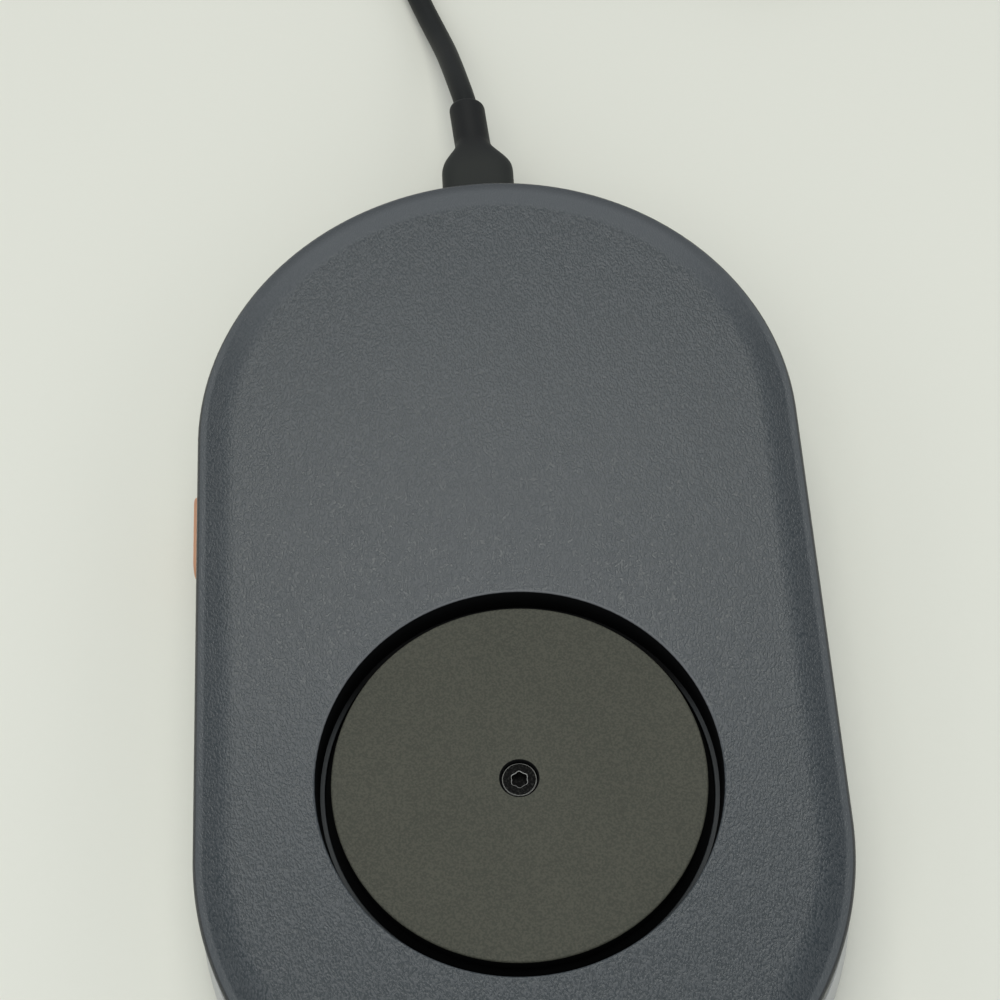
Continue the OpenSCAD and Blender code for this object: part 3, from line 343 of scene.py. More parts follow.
cord_finish = Finish("cord_rubber", Roughness=0.5, Specular_IOR_Level=0.18)
along = cord_finish.place()
mottle = cord_finish.noise(along, 0.004, 3.0)
cord_finish.colour((0.0045, 0.0053, 0.0048), (0.009, 0.0102, 0.0092), mottle)
cord_finish.bump(cord_finish.noise(along, 0.0006, 2.0), 0.00003, 0.5)

cord_steps, coil_steps = 4, 72
cord_line = np.vstack([through(lead_route, cord_steps)[:-1], coil_core(coil_steps),
                       through(tail_route, cord_steps)]) * MM
cord = joined("cord", [(tube(cord_line, cord_d / 2, cord_sides), False, True)], cord_finish, "case")
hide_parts("cord_lead", "cord_coil", "cord_tail")

# ------------------------------------------------------------------------------------------
# Plug at the case: a soft black grip moulded over a thin metal tip. It is boxy where it meets
# the case, drawn in over round shoulders, and its neck leans left and ends in a rounded edge.

plug_x, plug_z = -0.5, 8.0
plug_y, neck_y = 69.89, 83.59
shoulder_y, shoulder_l = plug_y + 7.3, 6.0
lean_y = neck_y - 5.0
neck_end = (-1.55, 90.59, 7.9)
grip_size, neck_d = (10.5, 6.3), 5.3
grip_edge, neck_edge = 0.4, 0.85


def boxed_ring(centre_x, y, centre_z, half_w, half_h, boxiness, sides):
    """A superellipse square to Y: |x/w|^n + |z/h|^n = 1, where n is the boxiness."""
    angle = 2 * np.pi * np.arange(sides) / sides
    c, s = np.cos(angle), np.sin(angle)
    power = 2 / np.asarray(boxiness, float)[..., None]
    x = np.asarray(centre_x)[..., None] + np.asarray(half_w)[..., None] * np.sign(c) * np.abs(c) ** power
    z = np.asarray(centre_z)[..., None] + np.asarray(half_h)[..., None] * np.sign(s) * np.abs(s) ** power
    return np.stack([x, np.broadcast_to(np.asarray(y)[..., None], x.shape), z], axis=-1)


def plug_rings(sides=96):
    """Sections along Y: a straight boxy part, a cosine shoulder, and a neck that leans with the
    cord and closes over a quarter circle."""
    opening = np.linspace(0, np.pi / 2, 7)
    closing = np.linspace(0, np.pi / 2, 8)[1:]
    close_y = neck_end[1] - neck_edge
    y = np.concatenate([plug_y + grip_edge * (1 - np.cos(opening)),
                        np.linspace(plug_y + grip_edge, shoulder_y, 10)[1:],
                        shoulder_y + shoulder_l * np.linspace(0, 1, 26)[1:],
                        np.linspace(neck_y, close_y, 12), close_y + neck_edge * np.sin(closing)])
    inset = np.zeros_like(y)
    inset[:len(opening)] = grip_edge * (1 - np.sin(opening))
    inset[-len(closing):] = neck_edge * (1 - np.cos(closing))
    u = np.clip((y - shoulder_y) / shoulder_l, 0, 1)
    share = 0.5 + 0.5 * np.cos(np.pi * u**1.2)
    half_w, half_h = (neck_d / 2 + (size - neck_d) / 2 * share - inset for size in grip_size)
    lean = np.clip((y - lean_y) / (neck_end[1] - lean_y), 0, 1) ** 0.9
    x = plug_x + (neck_end[0] - plug_x) * lean
    z = plug_z + (neck_end[2] - plug_z) * lean
    return boxed_ring(x, y, z, half_w, half_h, 4 - 1.9 * u, sides) * MM


grip_finish = Finish("plug_moulding", Roughness=0.58, Specular_IOR_Level=0.25)
here = grip_finish.place()
dusty = grip_finish.noise(here, 0.003, 4.0)
rubbed = grip_finish.mixed((0.008, 0.0095, 0.0078), (0.015, 0.0172, 0.0142), dusty)
on_neck = grip_finish.part_mm(here, "Y").between(shoulder_y, neck_y)
grip_finish.colour(rubbed, (0.003, 0.0034, 0.0032), on_neck)
grip_finish.set("Roughness", dusty * 0.12 + 0.5)
grip_finish.bump(grip_finish.noise(here, 0.00035, 2.0), 0.00004, 0.5)
plug_grip = joined("plug_grip_moulding", [(plug_rings(), False, True)], grip_finish, "case")
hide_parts("plug_grip")

# ------------------------------------------------------------------------------------------
# Far plug's grip: outside the view. A boxy moulding of the same rubber, cast round the back of
# the USB-A shell, with a round shoulder and a tapered strain relief.

far_end = (48.4, 162.0, 3.9)
far_grip_y, far_shell_y = 154.0, 134.0
far_edge, far_round = 0.5, 3.0
far_sizes = ((15.6, 3.4, 1.0), (7.6, 3.0, 0.6))


def far_rings(sides=96):
    """Sections from the shell back to the cord: a boxy grip with soft edges, a round shoulder,
    and a tapered strain relief. far_sizes gives, for the width and for the height, the grip's
    size, the relief's half size and how much the relief tapers."""
    front = np.linspace(0, np.pi / 2, 7)
    back = np.linspace(np.pi / 2, 0, 16)
    relief = np.linspace(0, 1, 14)[1:]
    straight_y = np.linspace(far_shell_y + far_edge, far_grip_y - far_round, 8)[1:-1]
    y = np.concatenate([far_shell_y + far_edge * (1 - np.cos(front)), straight_y,
                        far_grip_y - far_round * (1 - np.cos(back)),
                        far_grip_y + (far_end[1] - far_grip_y) * relief])
    half_w, half_h = (
        np.concatenate([size / 2 - far_edge * (1 - np.sin(front)), np.full(len(straight_y), size / 2),
                        neck + (size / 2 - neck) * np.sin(back), neck - taper * relief])
        for size, neck, taper in far_sizes)
    boxy = np.concatenate([np.full(len(front) + len(straight_y), 5.4), 2.4 + 3 * np.sin(back),
                           2.3 - 0.3 * relief])
    return boxed_ring(far_end[0], y, far_end[2], half_w, half_h, boxy, sides) * MM


far_grip = joined("far_plug_moulding", [(far_rings(), False, True)], grip_finish, "case")
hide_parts("far_plug_grip")

# ------------------------------------------------------------------------------------------
# Cover: one grey ABS moulding with a fine slanted grain, flat on top and falling off to a rounded
# rim, with the disc's well, its ledge and the hub's hole moulded in. Inside stand four blind
# bosses, into which the case screws hold it from below, and two ribs.

end_y, well_y = 29.0, -21.3
top_z, joint_z, roof_z, under_z, well_z, ledge_z = 19.0, 11.0, 17.0, 12.5, 14.0, 15.0
hole_r, floor_r, ledge_r, mouth_r, under_r = 5.5, 24.05, 24.625, 24.976, 26.45
flat_r, crown_drop, crown_w, crown_bend = 34.6, 0.65, 4.4, 0.4
rim_at, side_r, lip_r = (38.95, 17.35), 40.0, 39.0
case_posts = [(-28.0, -47.9), (28.0, -47.9), (22.52, 51.52), (-22.52, 51.52)]
case_sides = 480


def outline_stations(count, centre_y, reach, end=end_y):
    """Where rays from (0, centre_y), evenly spread in angle, meet the curve at distance reach from
    the middle line |y| <= end: their angles, foot points on that line and outward directions."""
    angle = 2 * np.pi * (np.arange(count) + 0.5) / count
    c, s = np.cos(angle), np.sin(angle)
    gap = centre_y - np.where(s > 0, end, -end)
    to_end = -s * gap + np.sqrt(np.maximum((s * gap) ** 2 - gap**2 + reach**2, 0))
    to_side = reach / np.abs(c)
    far = np.where(np.abs(centre_y + to_side * s) <= end, to_side, to_end)
    point = np.stack([far * c, centre_y + far * s], axis=1)
    foot = np.stack([np.zeros(count), np.clip(point[:, 1], -end, end)], axis=1)
    return angle, foot, (point - foot) / reach


def softened(corners, steps=4, hold=0.08):
    """A profile through corners (r, z, radius) with tangent arcs, and a point just before and after
    each arc, which keeps the flats flat in smooth shading."""
    corners = np.asarray(corners, float)
    points = []
    for i, (r, z, radius) in enumerate(corners):
        here = np.array([r, z])
        if radius == 0 or i in (0, len(corners) - 1):
            points.append(here[None])
            continue
        back = corners[i - 1, :2] - here
        on = corners[i + 1, :2] - here
        back /= np.linalg.norm(back)
        on /= np.linalg.norm(on)
        half = np.arccos(np.clip(back @ on, -1, 1)) / 2
        run = radius / np.tan(half)
        middle = here + (back + on) / np.linalg.norm(back + on) * radius / np.sin(half)
        swing = np.pi - 2 * half
        t = np.linspace(0, 1, steps + 1)[:, None]
        arc = middle + (np.sin((1 - t) * swing) * (here + back * run - middle)
                        + np.sin(t * swing) * (here + on * run - middle)) / np.sin(swing)
        points += [(here + back * (run + hold))[None], arc, (here + on * (run + hold))[None]]
    return np.vstack(points)


def ways(angle):
    """Unit directions (cos a, sin a), one a row."""
    return np.stack([np.cos(angle), np.sin(angle)], axis=1)


def stacked(profile, foot, way):
    """Rings foot + r way at height z, in mm, for each (r, z) of a profile."""
    profile = np.asarray(profile, float)
    plan = foot + profile[:, 0, None, None] * way
    return np.concatenate([plan, np.broadcast_to(profile[:, 1, None, None], (*plan.shape[:2], 1))], axis=2)


def case_rings(profile, stations):
    """Rings at the distances and heights (r, z) of a profile from the case's middle line."""
    return stacked(profile, *stations[1:]) * MM


def round_rings(profile, centre, angle):
    """Rings at the radii and heights (r, z) of a profile around an upright axis."""
    return stacked(profile, np.asarray(centre, float), ways(angle)) * MM


corner_steps = 8
corner_way = ways(np.radians(np.concatenate([np.linspace(0, 90, corner_steps) + 90 * k for k in range(4)])))


def corner_rings(profile, half_w, half_h, corner):
    """Rings (r, z) of a rounded rectangle round the Z axis, in mm: r is the radius of its corners at
    each ring, whose middles stay where a radius of corner gives the half sizes."""
    foot = np.repeat([[1, 1], [-1, 1], [-1, -1], [1, -1]], corner_steps, axis=0)
    return stacked(profile, foot * (half_w - corner, half_h - corner), corner_way)


def add_finishes(piece, finishes, choose):
    """Adds finishes to a piece. choose(middle, normal) takes the faces' middles in mm and normals
    and gives the place of each face's finish: 0 for the one it has, 1 for the first added."""
    count = len(piece.data.polygons)
    middle, normal = np.zeros(count * 3), np.zeros(count * 3)
    piece.data.polygons.foreach_get("center", middle)
    piece.data.polygons.foreach_get("normal", normal)
    for finish in finishes:
        piece.data.materials.append(finish.material)
    chosen = choose(middle.reshape(-1, 3) / MM, normal.reshape(-1, 3))
    piece.data.polygons.foreach_set("material_index", chosen.astype(np.int32))


cover_stations = outline_stations(case_sides, well_y, flat_r)
# The crown falls by share^2 / 2b up to the bend at share b, and by share - b/2 beyond it.
crown_r = np.concatenate([np.linspace(flat_r, flat_r + crown_w * crown_bend, 13), [37.5, 39.0, 39.17]])
share = (crown_r - flat_r) / crown_w
fall = np.where(share < crown_bend, share**2 / (2 * crown_bend), share - crown_bend / 2)
crown = np.stack([crown_r, top_z - crown_drop * fall / (1 - crown_bend / 2)], axis=1)
rim_angle = np.radians(np.linspace(74, 2, 12))
rim = np.stack([rim_at[0] + np.cos(rim_angle), rim_at[1] + np.sin(rim_angle)], axis=1)
skirt = softened([(39.95, 17.3, 0), (side_r, joint_z, 0.15), (lip_r, joint_z, 0.1), (lip_r, 12.4, 0),
                  (38, 12.4, 0), (38, roof_z, 1.5), (35.5, roof_z, 0)])[1:]
well_rings = round_rings(softened([(hole_r, under_z, 0), (hole_r, well_z, 0.2), (floor_r, well_z, 0),
                                   (floor_r, ledge_z, 0.12), (ledge_r, ledge_z, 0), (mouth_r, top_z, 0.3),
                                   (26.5, top_z, 0)]), (0, well_y), cover_stations[0])
outer_rings = case_rings(np.vstack([[(34.4, top_z)], crown, rim, skirt]), cover_stations)
under_rings = round_rings(softened([(under_r, roof_z, 0), (under_r, under_z, 0.2), (6.0, under_z, 0)]),
                          (0, well_y), cover_stations[0])
round_48 = 2 * np.pi * np.arange(48) / 48
boss_profile = softened([(3.2, 17.3, 0), (3.2, 9.4, 0.2), (1.23, 9.4, 0.1), (1.23, 15.6, 0)])
cover_rib = corner_rings([(0.02, 16.4), (0.1, 16.48), (0.1, 17.1)], 27.36, 0.5, 0.1)
cover_stacks = [(np.concatenate([well_rings, outer_rings, under_rings]), True, True)]
cover_stacks += [(round_rings(boss_profile, post, round_48), False, True) for post in case_posts]
cover_stacks += [((cover_rib + (0, rib_y, 0)) * MM, False, False) for rib_y in (27.5, 43.5)]

cover_finish = Finish("cover_plastic", Roughness=0.45, Specular_IOR_Level=0.5)
spot = cover_finish.place()
slanted = cover_finish.laid(spot, scale=(1.0, 0.6, 1.0), turn=(0, 0, 0.6))
grain = cover_finish.noise(slanted, 0.00023, 1.0, 0.5).between(0.32, 0.68)
broad = cover_finish.noise(spot, 0.02, 2.0)
across, along, up = (cover_finish.part_mm(spot, axis) for axis in "XYZ")
beyond = (along.unsigned() - end_y).most(0.0)
reach = (across * across + beyond * beyond).power(0.5)
from_well = (across * across + (along - well_y) * (along - well_y)).power(0.5)
plain = cover_finish.mixed((0.014, 0.021, 0.025), (0.046, 0.053, 0.058), grain * 0.85 + broad * 0.15)
far = along.between(36.0, 60.0)
# Painted light and shade in bands along the outline: painted shade on the crown at the sides and
# near end, a painted highlight on it at the far end, painted shade on the far edge, painted
# reflections on the side rims, and a painted shade line at the very edge.
tone = cover_finish.mixed(plain, (0.020, 0.026, 0.030), reach.between(36.0, 37.3) * (1 - far) * 0.5)
tone = cover_finish.mixed(tone, (0.066, 0.073, 0.078), reach.between(34.6, 35.6) * far * 0.85)
tone = cover_finish.mixed(tone, (0.026, 0.031, 0.035), reach.between(37.6, 39.2) * far * 0.85)
tone = cover_finish.mixed(tone, (0.062, 0.069, 0.073), reach.between(38.5, 38.85) * (1 - far) * 0.85)
tone = cover_finish.mixed(tone, (0.004, 0.005, 0.006), reach.between(39.42, 39.62) * 0.9)
tone = cover_finish.mixed(plain, tone, up.between(17.2, 17.4))
# A painted highlight: a thin pale ring along the well's mouth, on its far side.
mouth_highlight = from_well.between(24.95, 25.02) * (1 - from_well.between(25.20, 25.28)) * up.between(18.7, 18.8)
mouth_highlight = mouth_highlight * along.between(well_y - 4.0, well_y + 12.0)
cover_finish.colour(tone, (0.095, 0.100, 0.104), mouth_highlight)
cover_finish.set("Roughness", grain * 0.08 + 0.31)
cover_finish.bump(grain, 0.00005, 0.5)


def clouded(name, dark, light, size, **constants):
    """A finish whose base colour wavers between two tones in clouds about size metres apart."""
    finish = Finish(name, **constants)
    finish.colour(dark, light, finish.noise(finish.place(), size))
    return finish


# Painted shade: near-black for the well's walls and floor and the disc's sides, where the well's shade falls.
well_shade_dark = (0.002, 0.0022, 0.0022)
shade_finish = clouded("well_painted_shade", well_shade_dark, (0.004, 0.0042, 0.0042), 0.0005, Roughness=0.8,
                       Specular_IOR_Level=0.05)

ledge_finish = Finish("ledge_plastic", Roughness=0.5, Specular_IOR_Level=0.25)
spot = ledge_finish.place()
# Painted shade: the ledge turns near-black on its far side, below the well's wall, and rougher there.
far_side_shade = (ledge_finish.part_mm(spot, "Y") - well_y).between(7.0, 15.0)
grey = ledge_finish.mixed((0.028, 0.033, 0.036), (0.044, 0.049, 0.052), ledge_finish.noise(spot, 0.0005))
ledge_finish.colour(grey, well_shade_dark, far_side_shade)
ledge_finish.set("Roughness", far_side_shade * 0.4 + 0.45)


def from_axis(middle):
    """Distance of points (x, y, z) in mm from the turntable's axis."""
    return np.hypot(middle[:, 0], middle[:, 1] - well_y)


def well_finish(middle, normal):
    """0 for the cover's plastic, 1 for the walls and floor that carry the well's painted shade, 2 for its
    ledge.
    """
    r, z = from_axis(middle), middle[:, 2]
    ledge = (r > floor_r - 0.05) & (r < 24.8) & (z > ledge_z - 0.1) & (z < ledge_z + 0.2)
    wall = (r < 25.1) & (z > 12.6) & (z < 18.8) & (np.abs(normal[:, 2]) < 0.5)
    return np.where(ledge, 2, wall | (r < floor_r - 0.05) & (z > 12.6))


cover = joined("cover", cover_stacks, cover_finish, "case")
add_finishes(cover, [shade_finish, ledge_finish], well_finish)
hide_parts("top_cover")

# ------------------------------------------------------------------------------------------
# Lower shell: a light grey moulded tray that flares towards its base, with a lip for the cover,
# holes for the button and the plug, and recesses for feet and screws. Posts on its floor carry
# the cover, the gear plate, the board, the wheels' pins and the spindle.

feet = [(-28.0, -36.0), (28.0, -36.0), (28.0, 36.0), (-28.0, 36.0)]
button_y, port_x, port_z = 19.8, -0.5, 8.0
base_r, base_z, tray_z, rest_z = 41.116, 1.0, 3.0, 9.3
shell_profile = softened([(30, base_z, 0), (base_r, base_z, 1.2), (40.15, joint_z, 0.12), (38.9, joint_z, 0),
                          (38.9, 12.2, 0.15), (38, 12.2, 0.1), (38, tray_z, 0.8), (30, tray_z, 0)], 5)
screw_post = [(3.6, 1.2), (3.6, rest_z - 0.1), (3.5, rest_z), (1.4, rest_z), (1.4, 3.4), (2.7, 3.4),
              (2.7, 1.2)]
# Blind posts: radius, top, and radius and floor of the bore, with the places of each kind.
blind_posts = {
    (2.5, 8.6, 0.93, 4.4): [(-15.29, -33.24), (15.29, -33.24), (7.75, 29.47), (21.45, 2.75), (-10.55, -1.12)],
    (2.4, 5.2, 0.93, 1.4): [(21.5, 39.5), (-29.0, 34.5), (-22.5, 13.37)],
    (1.95, 3.6, 0.77, 3.1): [(8.75, -6.14), (1.75, 5.98)],
    (3.1, 3.6, 1.53, 3.1): [(0.0, well_y)]}


def cut_away(piece, cutter):
    """Takes the cutter's shape out of a piece for good and removes the cutter."""
    cut = piece.modifiers.new("cut", "BOOLEAN")
    cut.operation, cut.solver, cut.object = "DIFFERENCE", "EXACT", cutter
    bpy.context.view_layer.update()
    shaped = bpy.data.meshes.new_from_object(piece.evaluated_get(bpy.context.evaluated_depsgraph_get()))
    shaped.set_sharp_from_angle(angle=sharp_angle)
    piece.modifiers.clear()
    piece.data = shaped
    bpy.data.objects.remove(cutter)


pill_sides, pill_r = 128, 2.0


def pill_rings(profile, centre, end, axis):
    """Rings (r, x) of a stadium whose flat sides run along Y between -end and end, stacked along X
    (axis 0), or along X and stacked along Y (axis 1)."""
    _, foot, out = outline_stations(pill_sides, 0.0, pill_r, end)
    profile = np.asarray(profile, float)
    plan = foot[None] + profile[:, 0, None, None] * out[None]
    along = np.broadcast_to(profile[:, 1, None], plan.shape[:2])
    ring = [along, plan[..., 1], plan[..., 0]] if axis == 0 else [plan[..., 1], along, plan[..., 0]]
    return (np.stack(ring, axis=2) + np.asarray(centre, float)) * MM


shell_finish = Finish("shell_plastic", Roughness=0.5, Specular_IOR_Level=0.45)
spot = shell_finish.place()
grain = shell_finish.noise(spot, 0.0004, 2.0, 0.6)
shell_finish.colour((0.40, 0.405, 0.395), (0.44, 0.445, 0.435), grain)
shell_finish.bump(grain, 0.00003, 0.4)

post_stacks = [(round_rings(screw_post, post, round_48), True, False) for post in case_posts]
for (post_r, top, bore_r, bore_z), places in blind_posts.items():
    rows = [(post_r, 2.5), (post_r, top - 0.1), (post_r - 0.1, top), (bore_r, top), (bore_r, bore_z)]
    post_stacks += [(round_rings(rows, at, round_48), False, False) for at in places]
joined("shell_posts", post_stacks, shell_finish, "case")

shell_stations = outline_stations(case_sides, 0.0, side_r)
shell = joined("shell", [(case_rings(shell_profile, shell_stations), False, False)], shell_finish, None)
sunk = [(round_rings([(5.6, -1), (5.6, 1.6)], foot, round_48), False, False) for foot in feet]
sunk += [(round_rings([(2.7, -1), (2.7, 3.6)], post, round_48), False, False) for post in case_posts]
sunk += [(pill_rings([(2.2, -45), (2.2, -36)], (0, button_y, port_z), 4.05, 0), False, False),
         (pill_rings([(1.95, 60), (1.95, 75)], (port_x, 0, port_z), 2.85, 1), False, True)]
cut_away(shell, joined("sunk", sunk, shell_finish, None))
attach(shell, "case")
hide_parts("lower_shell")

# ------------------------------------------------------------------------------------------
# Turntable: a matt olive-grey moulded disc that turns in the well, with a screw pocket in the
# middle. Underneath it is hollow round its hub, with six ribs.

face_z, pocket_r, head_z, disc_r = 18.1, 2.3, 16.05, 23.05
rib_count = 6
round_192 = 2 * np.pi * np.arange(192) / 192
disc_profile = softened([(2.52, 11.9, 0), (2.52, 14.65, 0), (1.4, 14.65, 0), (1.4, head_z, 0),
                         (pocket_r, head_z, 0), (pocket_r, face_z, 0.1), (disc_r, face_z, 0.25),
                         (disc_r, 15.5, 0.1), (22.45, 14.9, 0.1), (21.05, 14.9, 0), (21.05, 15.7, 0),
                         (5.0, 15.7, 0), (5.0, 11.9, 0)])


def about_z(degrees):
    """Matrix that turns rows (x, y, z) about the Z axis."""
    c, s = np.cos(np.radians(degrees)), np.sin(np.radians(degrees))
    return np.array([[c, s, 0], [-s, c, 0], [0, 0, 1]])


disc_finish = Finish("disc_plastic", Roughness=0.7, Specular_IOR_Level=0.35)
spot = disc_finish.place()
grain = disc_finish.noise(spot, 0.00026, 1.0, 0.5).between(0.34, 0.66)
broad = disc_finish.noise(spot, 0.012, 3.0)
tint = disc_finish.noise(disc_finish.laid(spot, shift=(0.1, 0, 0)), 0.0009, 2.0)
olive = disc_finish.mixed((0.038, 0.0365, 0.0265), (0.034, 0.0385, 0.027), tint)
disc_finish.colour(olive, (0.068, 0.067, 0.049), grain * 0.65 + broad * 0.35)
disc_finish.bump(grain, 0.00005, 0.5)

rib = corner_rings([(0.02, 14.9), (0.1, 14.98), (0.1, 15.8)], 8.05, 0.5, 0.1) + (13.02, 0, 0)
disc_stacks = [(round_rings(disc_profile, (0, well_y), round_192), True, True)]
disc_stacks += [((rib @ about_z(angle) + (0, well_y, 0)) * MM, False, False)
                for angle in range(0, 360, 360 // rib_count)]
disc = joined("disc", disc_stacks, disc_finish, "turntable")
# Painted shade: the disc's sides, underside, ribs and pocket walls take the well's near-black shade.
add_finishes(disc, [shade_finish],
             lambda middle, normal: (middle[:, 2] < face_z - 0.25) | (from_axis(middle) < 2.48))
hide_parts("turntable_disc")

# ------------------------------------------------------------------------------------------
# Centre screw: a blackened steel M2.5 screw whose flat head lies below the disc's face. Its
# chamfer and the rim of its six-lobed recess carry a painted highlight in pale grey.


def lobed(angle, size):
    """Radius of the recess, six shallow lobes at 30, 90, 150... degrees:
    r = size (0.465 - 0.035 cos 6a)."""
    return size * (0.465 - 0.035 * np.cos(6 * angle))


def star_rings(rows, centre, angle):
    """Rings around an upright axis at rows (r, z), where r is an array with a radius per angle."""
    return np.stack([np.column_stack([centre + ways(angle) * r[:, None], np.full(len(r), z)])
                     for r, z in rows]) * MM


head_top, head_r, shank_r, recess_d, head_chamfer = 17.65, 2.14, 1.21, 2.11, 0.1
head_profile = softened([(shank_r, 10.05, 0), (shank_r, head_z, 0), (head_r, head_z, 0),
                         (head_r, head_top - head_chamfer, 0.02), (head_r - head_chamfer, head_top, 0.02),
                         (1.6, head_top, 0)])
head_outside = round_rings(head_profile, (0, well_y), round_192)
# How far each ring of the recess lies outside the lobes, and how deep below the head's top.
recess_rings = [(0.14, 0.0), (0.07, 0.0), (0.01, 0.06), (0.0, 0.1), (0.0, 1.0), (-0.3, 1.02)]
lobe_r = lobed(round_192, recess_d)
head_inside = star_rings([(lobe_r + grow, head_top - depth) for grow, depth in recess_rings],
                         (0, well_y), round_192)


def edge_highlight_faces(middle, normal):
    """The head's chamfered edge and the rim of its recess, which carry a painted highlight."""
    r, near_top = from_axis(middle), middle[:, 2] > 17.54
    return near_top & ((r > 2.03) | (r < 1.2) & (normal[:, 2] < 0.98))


screw_finish = Finish("screw_black", Roughness=0.55, Specular_IOR_Level=0.06)
spot = screw_finish.place()
grain = screw_finish.noise(spot, 0.00028, 2.0, 0.6).between(0.45, 0.8)
screw_finish.colour((0.001, 0.001, 0.0009), (0.030, 0.030, 0.027), grain)
# A painted highlight in pale grey on the head's chamfer and the rim of its recess.
edge_highlight_finish = clouded("screw_edge_highlight", (0.22, 0.22, 0.20), (0.48, 0.48, 0.45), 0.0004, Roughness=0.5)
disc_screw = joined("centre_screw", [(np.concatenate([head_outside, head_inside]), False, False)],
                    screw_finish, "turntable")
add_finishes(disc_screw, [edge_highlight_finish], edge_highlight_faces)
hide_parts("disc_screw")

# ------------------------------------------------------------------------------------------
# Push button: a peach-coloured moulded pill in the left wall, sprung by the switch behind it,
# with a flange that keeps it in its hole.

button_at = (0, button_y, port_z)
button_body = pill_rings(softened([(1.2, -41.5, 0), (2.0, -41.5, 0.3), (2.0, -37.5, 0)]), button_at, 4.05, 0)
button_flange = pill_rings(softened([(2.0, -37.9, 0), (2.7, -37.9, 0.1), (2.7, -36.9, 0.1), (2.0, -36.9, 0)]),
                           button_at, 4.55, 0)
button_nub = pill_rings([(1.0, -37.0), (1.0, -35.8), (0.9, -35.7)], button_at, 1.0, 0)
button_finish = clouded("button_plastic", (0.50, 0.245, 0.135), (0.535, 0.27, 0.15), 0.002,
                        Roughness=0.4, Specular_IOR_Level=0.5)
button = joined("push_button", [(rings, False, True) for rings in (button_body, button_flange, button_nub)],
                button_finish, "button")
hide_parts("mode_button")

# ------------------------------------------------------------------------------------------
# Rubber feet: four round pads of dark rubber with a soft lower edge, glued into recesses under
# the shell, so that the case doesn't slide.

foot_profile = softened([(4.2, 0, 0), (5.1, 0, 0.12), (5.5, 0.4, 0.2), (5.5, 1.6, 0)])
foot_finish = Finish("foot_rubber", Roughness=0.8, Specular_IOR_Level=0.3)
spot = foot_finish.place()
foot_finish.colour((0.014, 0.014, 0.014), (0.026, 0.026, 0.025), foot_finish.noise(spot, 0.0012, 3.0))
foot_finish.bump(foot_finish.noise(spot, 0.0004), 0.00003)
foot_pads = joined("foot_pads", [(round_rings(foot_profile, foot, round_48), False, False) for foot in feet],
                   foot_finish, "case")
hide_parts("rubber_feet")

# ------------------------------------------------------------------------------------------
# Case screws: four zinc-plated pan-head screws with a cross recess, sunk in the underside. They
# run up through the shell's hollow posts into the cover's bosses.


def crossed(angle, reach, half):
    """Radius of a cross whose arms are 2 half wide and reach far: half / sin a near an arm at 0,
    90, 180 and 270 degrees, and never more than reach."""
    turn = (angle + np.pi / 4) % (np.pi / 2) - np.pi / 4
    return np.minimum(reach, half / np.maximum(np.abs(np.sin(turn)), 1e-6))


pan_r, pan_z, pan_rise, pan_shank_r, pan_tip_z = 2.4, 3.0, 1.2, 1.2, 13.4
dome = np.radians(np.linspace(0, 62, 7))
dome_rows = np.stack([0.9 + (pan_r - 0.9) * np.cos(dome),
                      pan_z - pan_rise / np.sin(dome[-1]) * np.sin(dome)], axis=1)
pan_rows = np.vstack([[(0.9, pan_tip_z), (pan_shank_r, pan_tip_z - 0.3), (pan_shank_r, 3.4), (pan_r, 3.4)],
                      dome_rows])
cross_rings = [(1.5, 0.27, 1.8), (1.44, 0.21, 1.86), (0.95, 0.12, 2.75)]
round_96 = 2 * np.pi * (np.arange(96) + 0.5) / 96


def pan_screw(post):
    """Rings of a screw with its head down: shank, domed head and tapering cross recess."""
    recess = [(crossed(round_96, reach, half), z) for reach, half, z in cross_rings]
    return np.concatenate([round_rings(pan_rows, post, round_96), star_rings(recess, post, round_96)])


zinc_finish = Finish("zinc_plated_steel", Metallic=1.0)
spot = zinc_finish.place()
streak = zinc_finish.noise(spot, 0.0008, 3.0)
zinc_finish.colour((0.46, 0.47, 0.49), (0.62, 0.63, 0.64), streak)
zinc_finish.set("Roughness", streak * 0.2 + 0.26)
case_screws = joined("pan_screws", [(pan_screw(post), False, True) for post in case_posts], zinc_finish,
                     "case")
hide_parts("case_screws")

# ------------------------------------------------------------------------------------------
# Coil tie: a flat black woven strap that lies round the turns of the coil at one place, welded
# into a closed loop.

strap_turn, strap_thick, strap_half_w = -60, 0.3, 2.2
strap_round, strap_half, strap_middle = 1.1, (11.005, 4.0), (18.895, 4.3)
strap_bend = corner_rings([(strap_round, 0.0)], *strap_half, strap_round)[0, :, :2] + strap_middle
_, strap_foot, strap_out = outline_stations(40, 0.0, strap_thick, strap_half_w)
strap_plan = strap_bend[:, None] + corner_way[:, None] * strap_thick * strap_out[None, :, :1]
strap_side = np.broadcast_to(strap_foot[:, 1] + strap_thick * strap_out[:, 1], strap_plan.shape[:2])
strap_rings = np.stack([strap_plan[..., 0], strap_side, strap_plan[..., 1]], axis=2) @ about_z(strap_turn)
strap_rings = (strap_rings + (*coil_at, 0)) * MM
strap_finish = Finish("strap_black", Roughness=0.6)
spot = strap_finish.place()
weave = strap_finish.noise(strap_finish.laid(spot, scale=(1, 1, 3)), 0.0006, 2.0)
strap_finish.colour((0.018, 0.018, 0.019), (0.034, 0.034, 0.035), weave)
strap_finish.bump(weave, 0.00005)
strap = joined("strap", [(strap_rings, True, False)], strap_finish, "case")
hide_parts("coil_tie")

# ------------------------------------------------------------------------------------------
# Far plug's metal end: a folded nickel-plated shell with two latch windows round a white tongue
# whose upper side carries four gilt contacts.

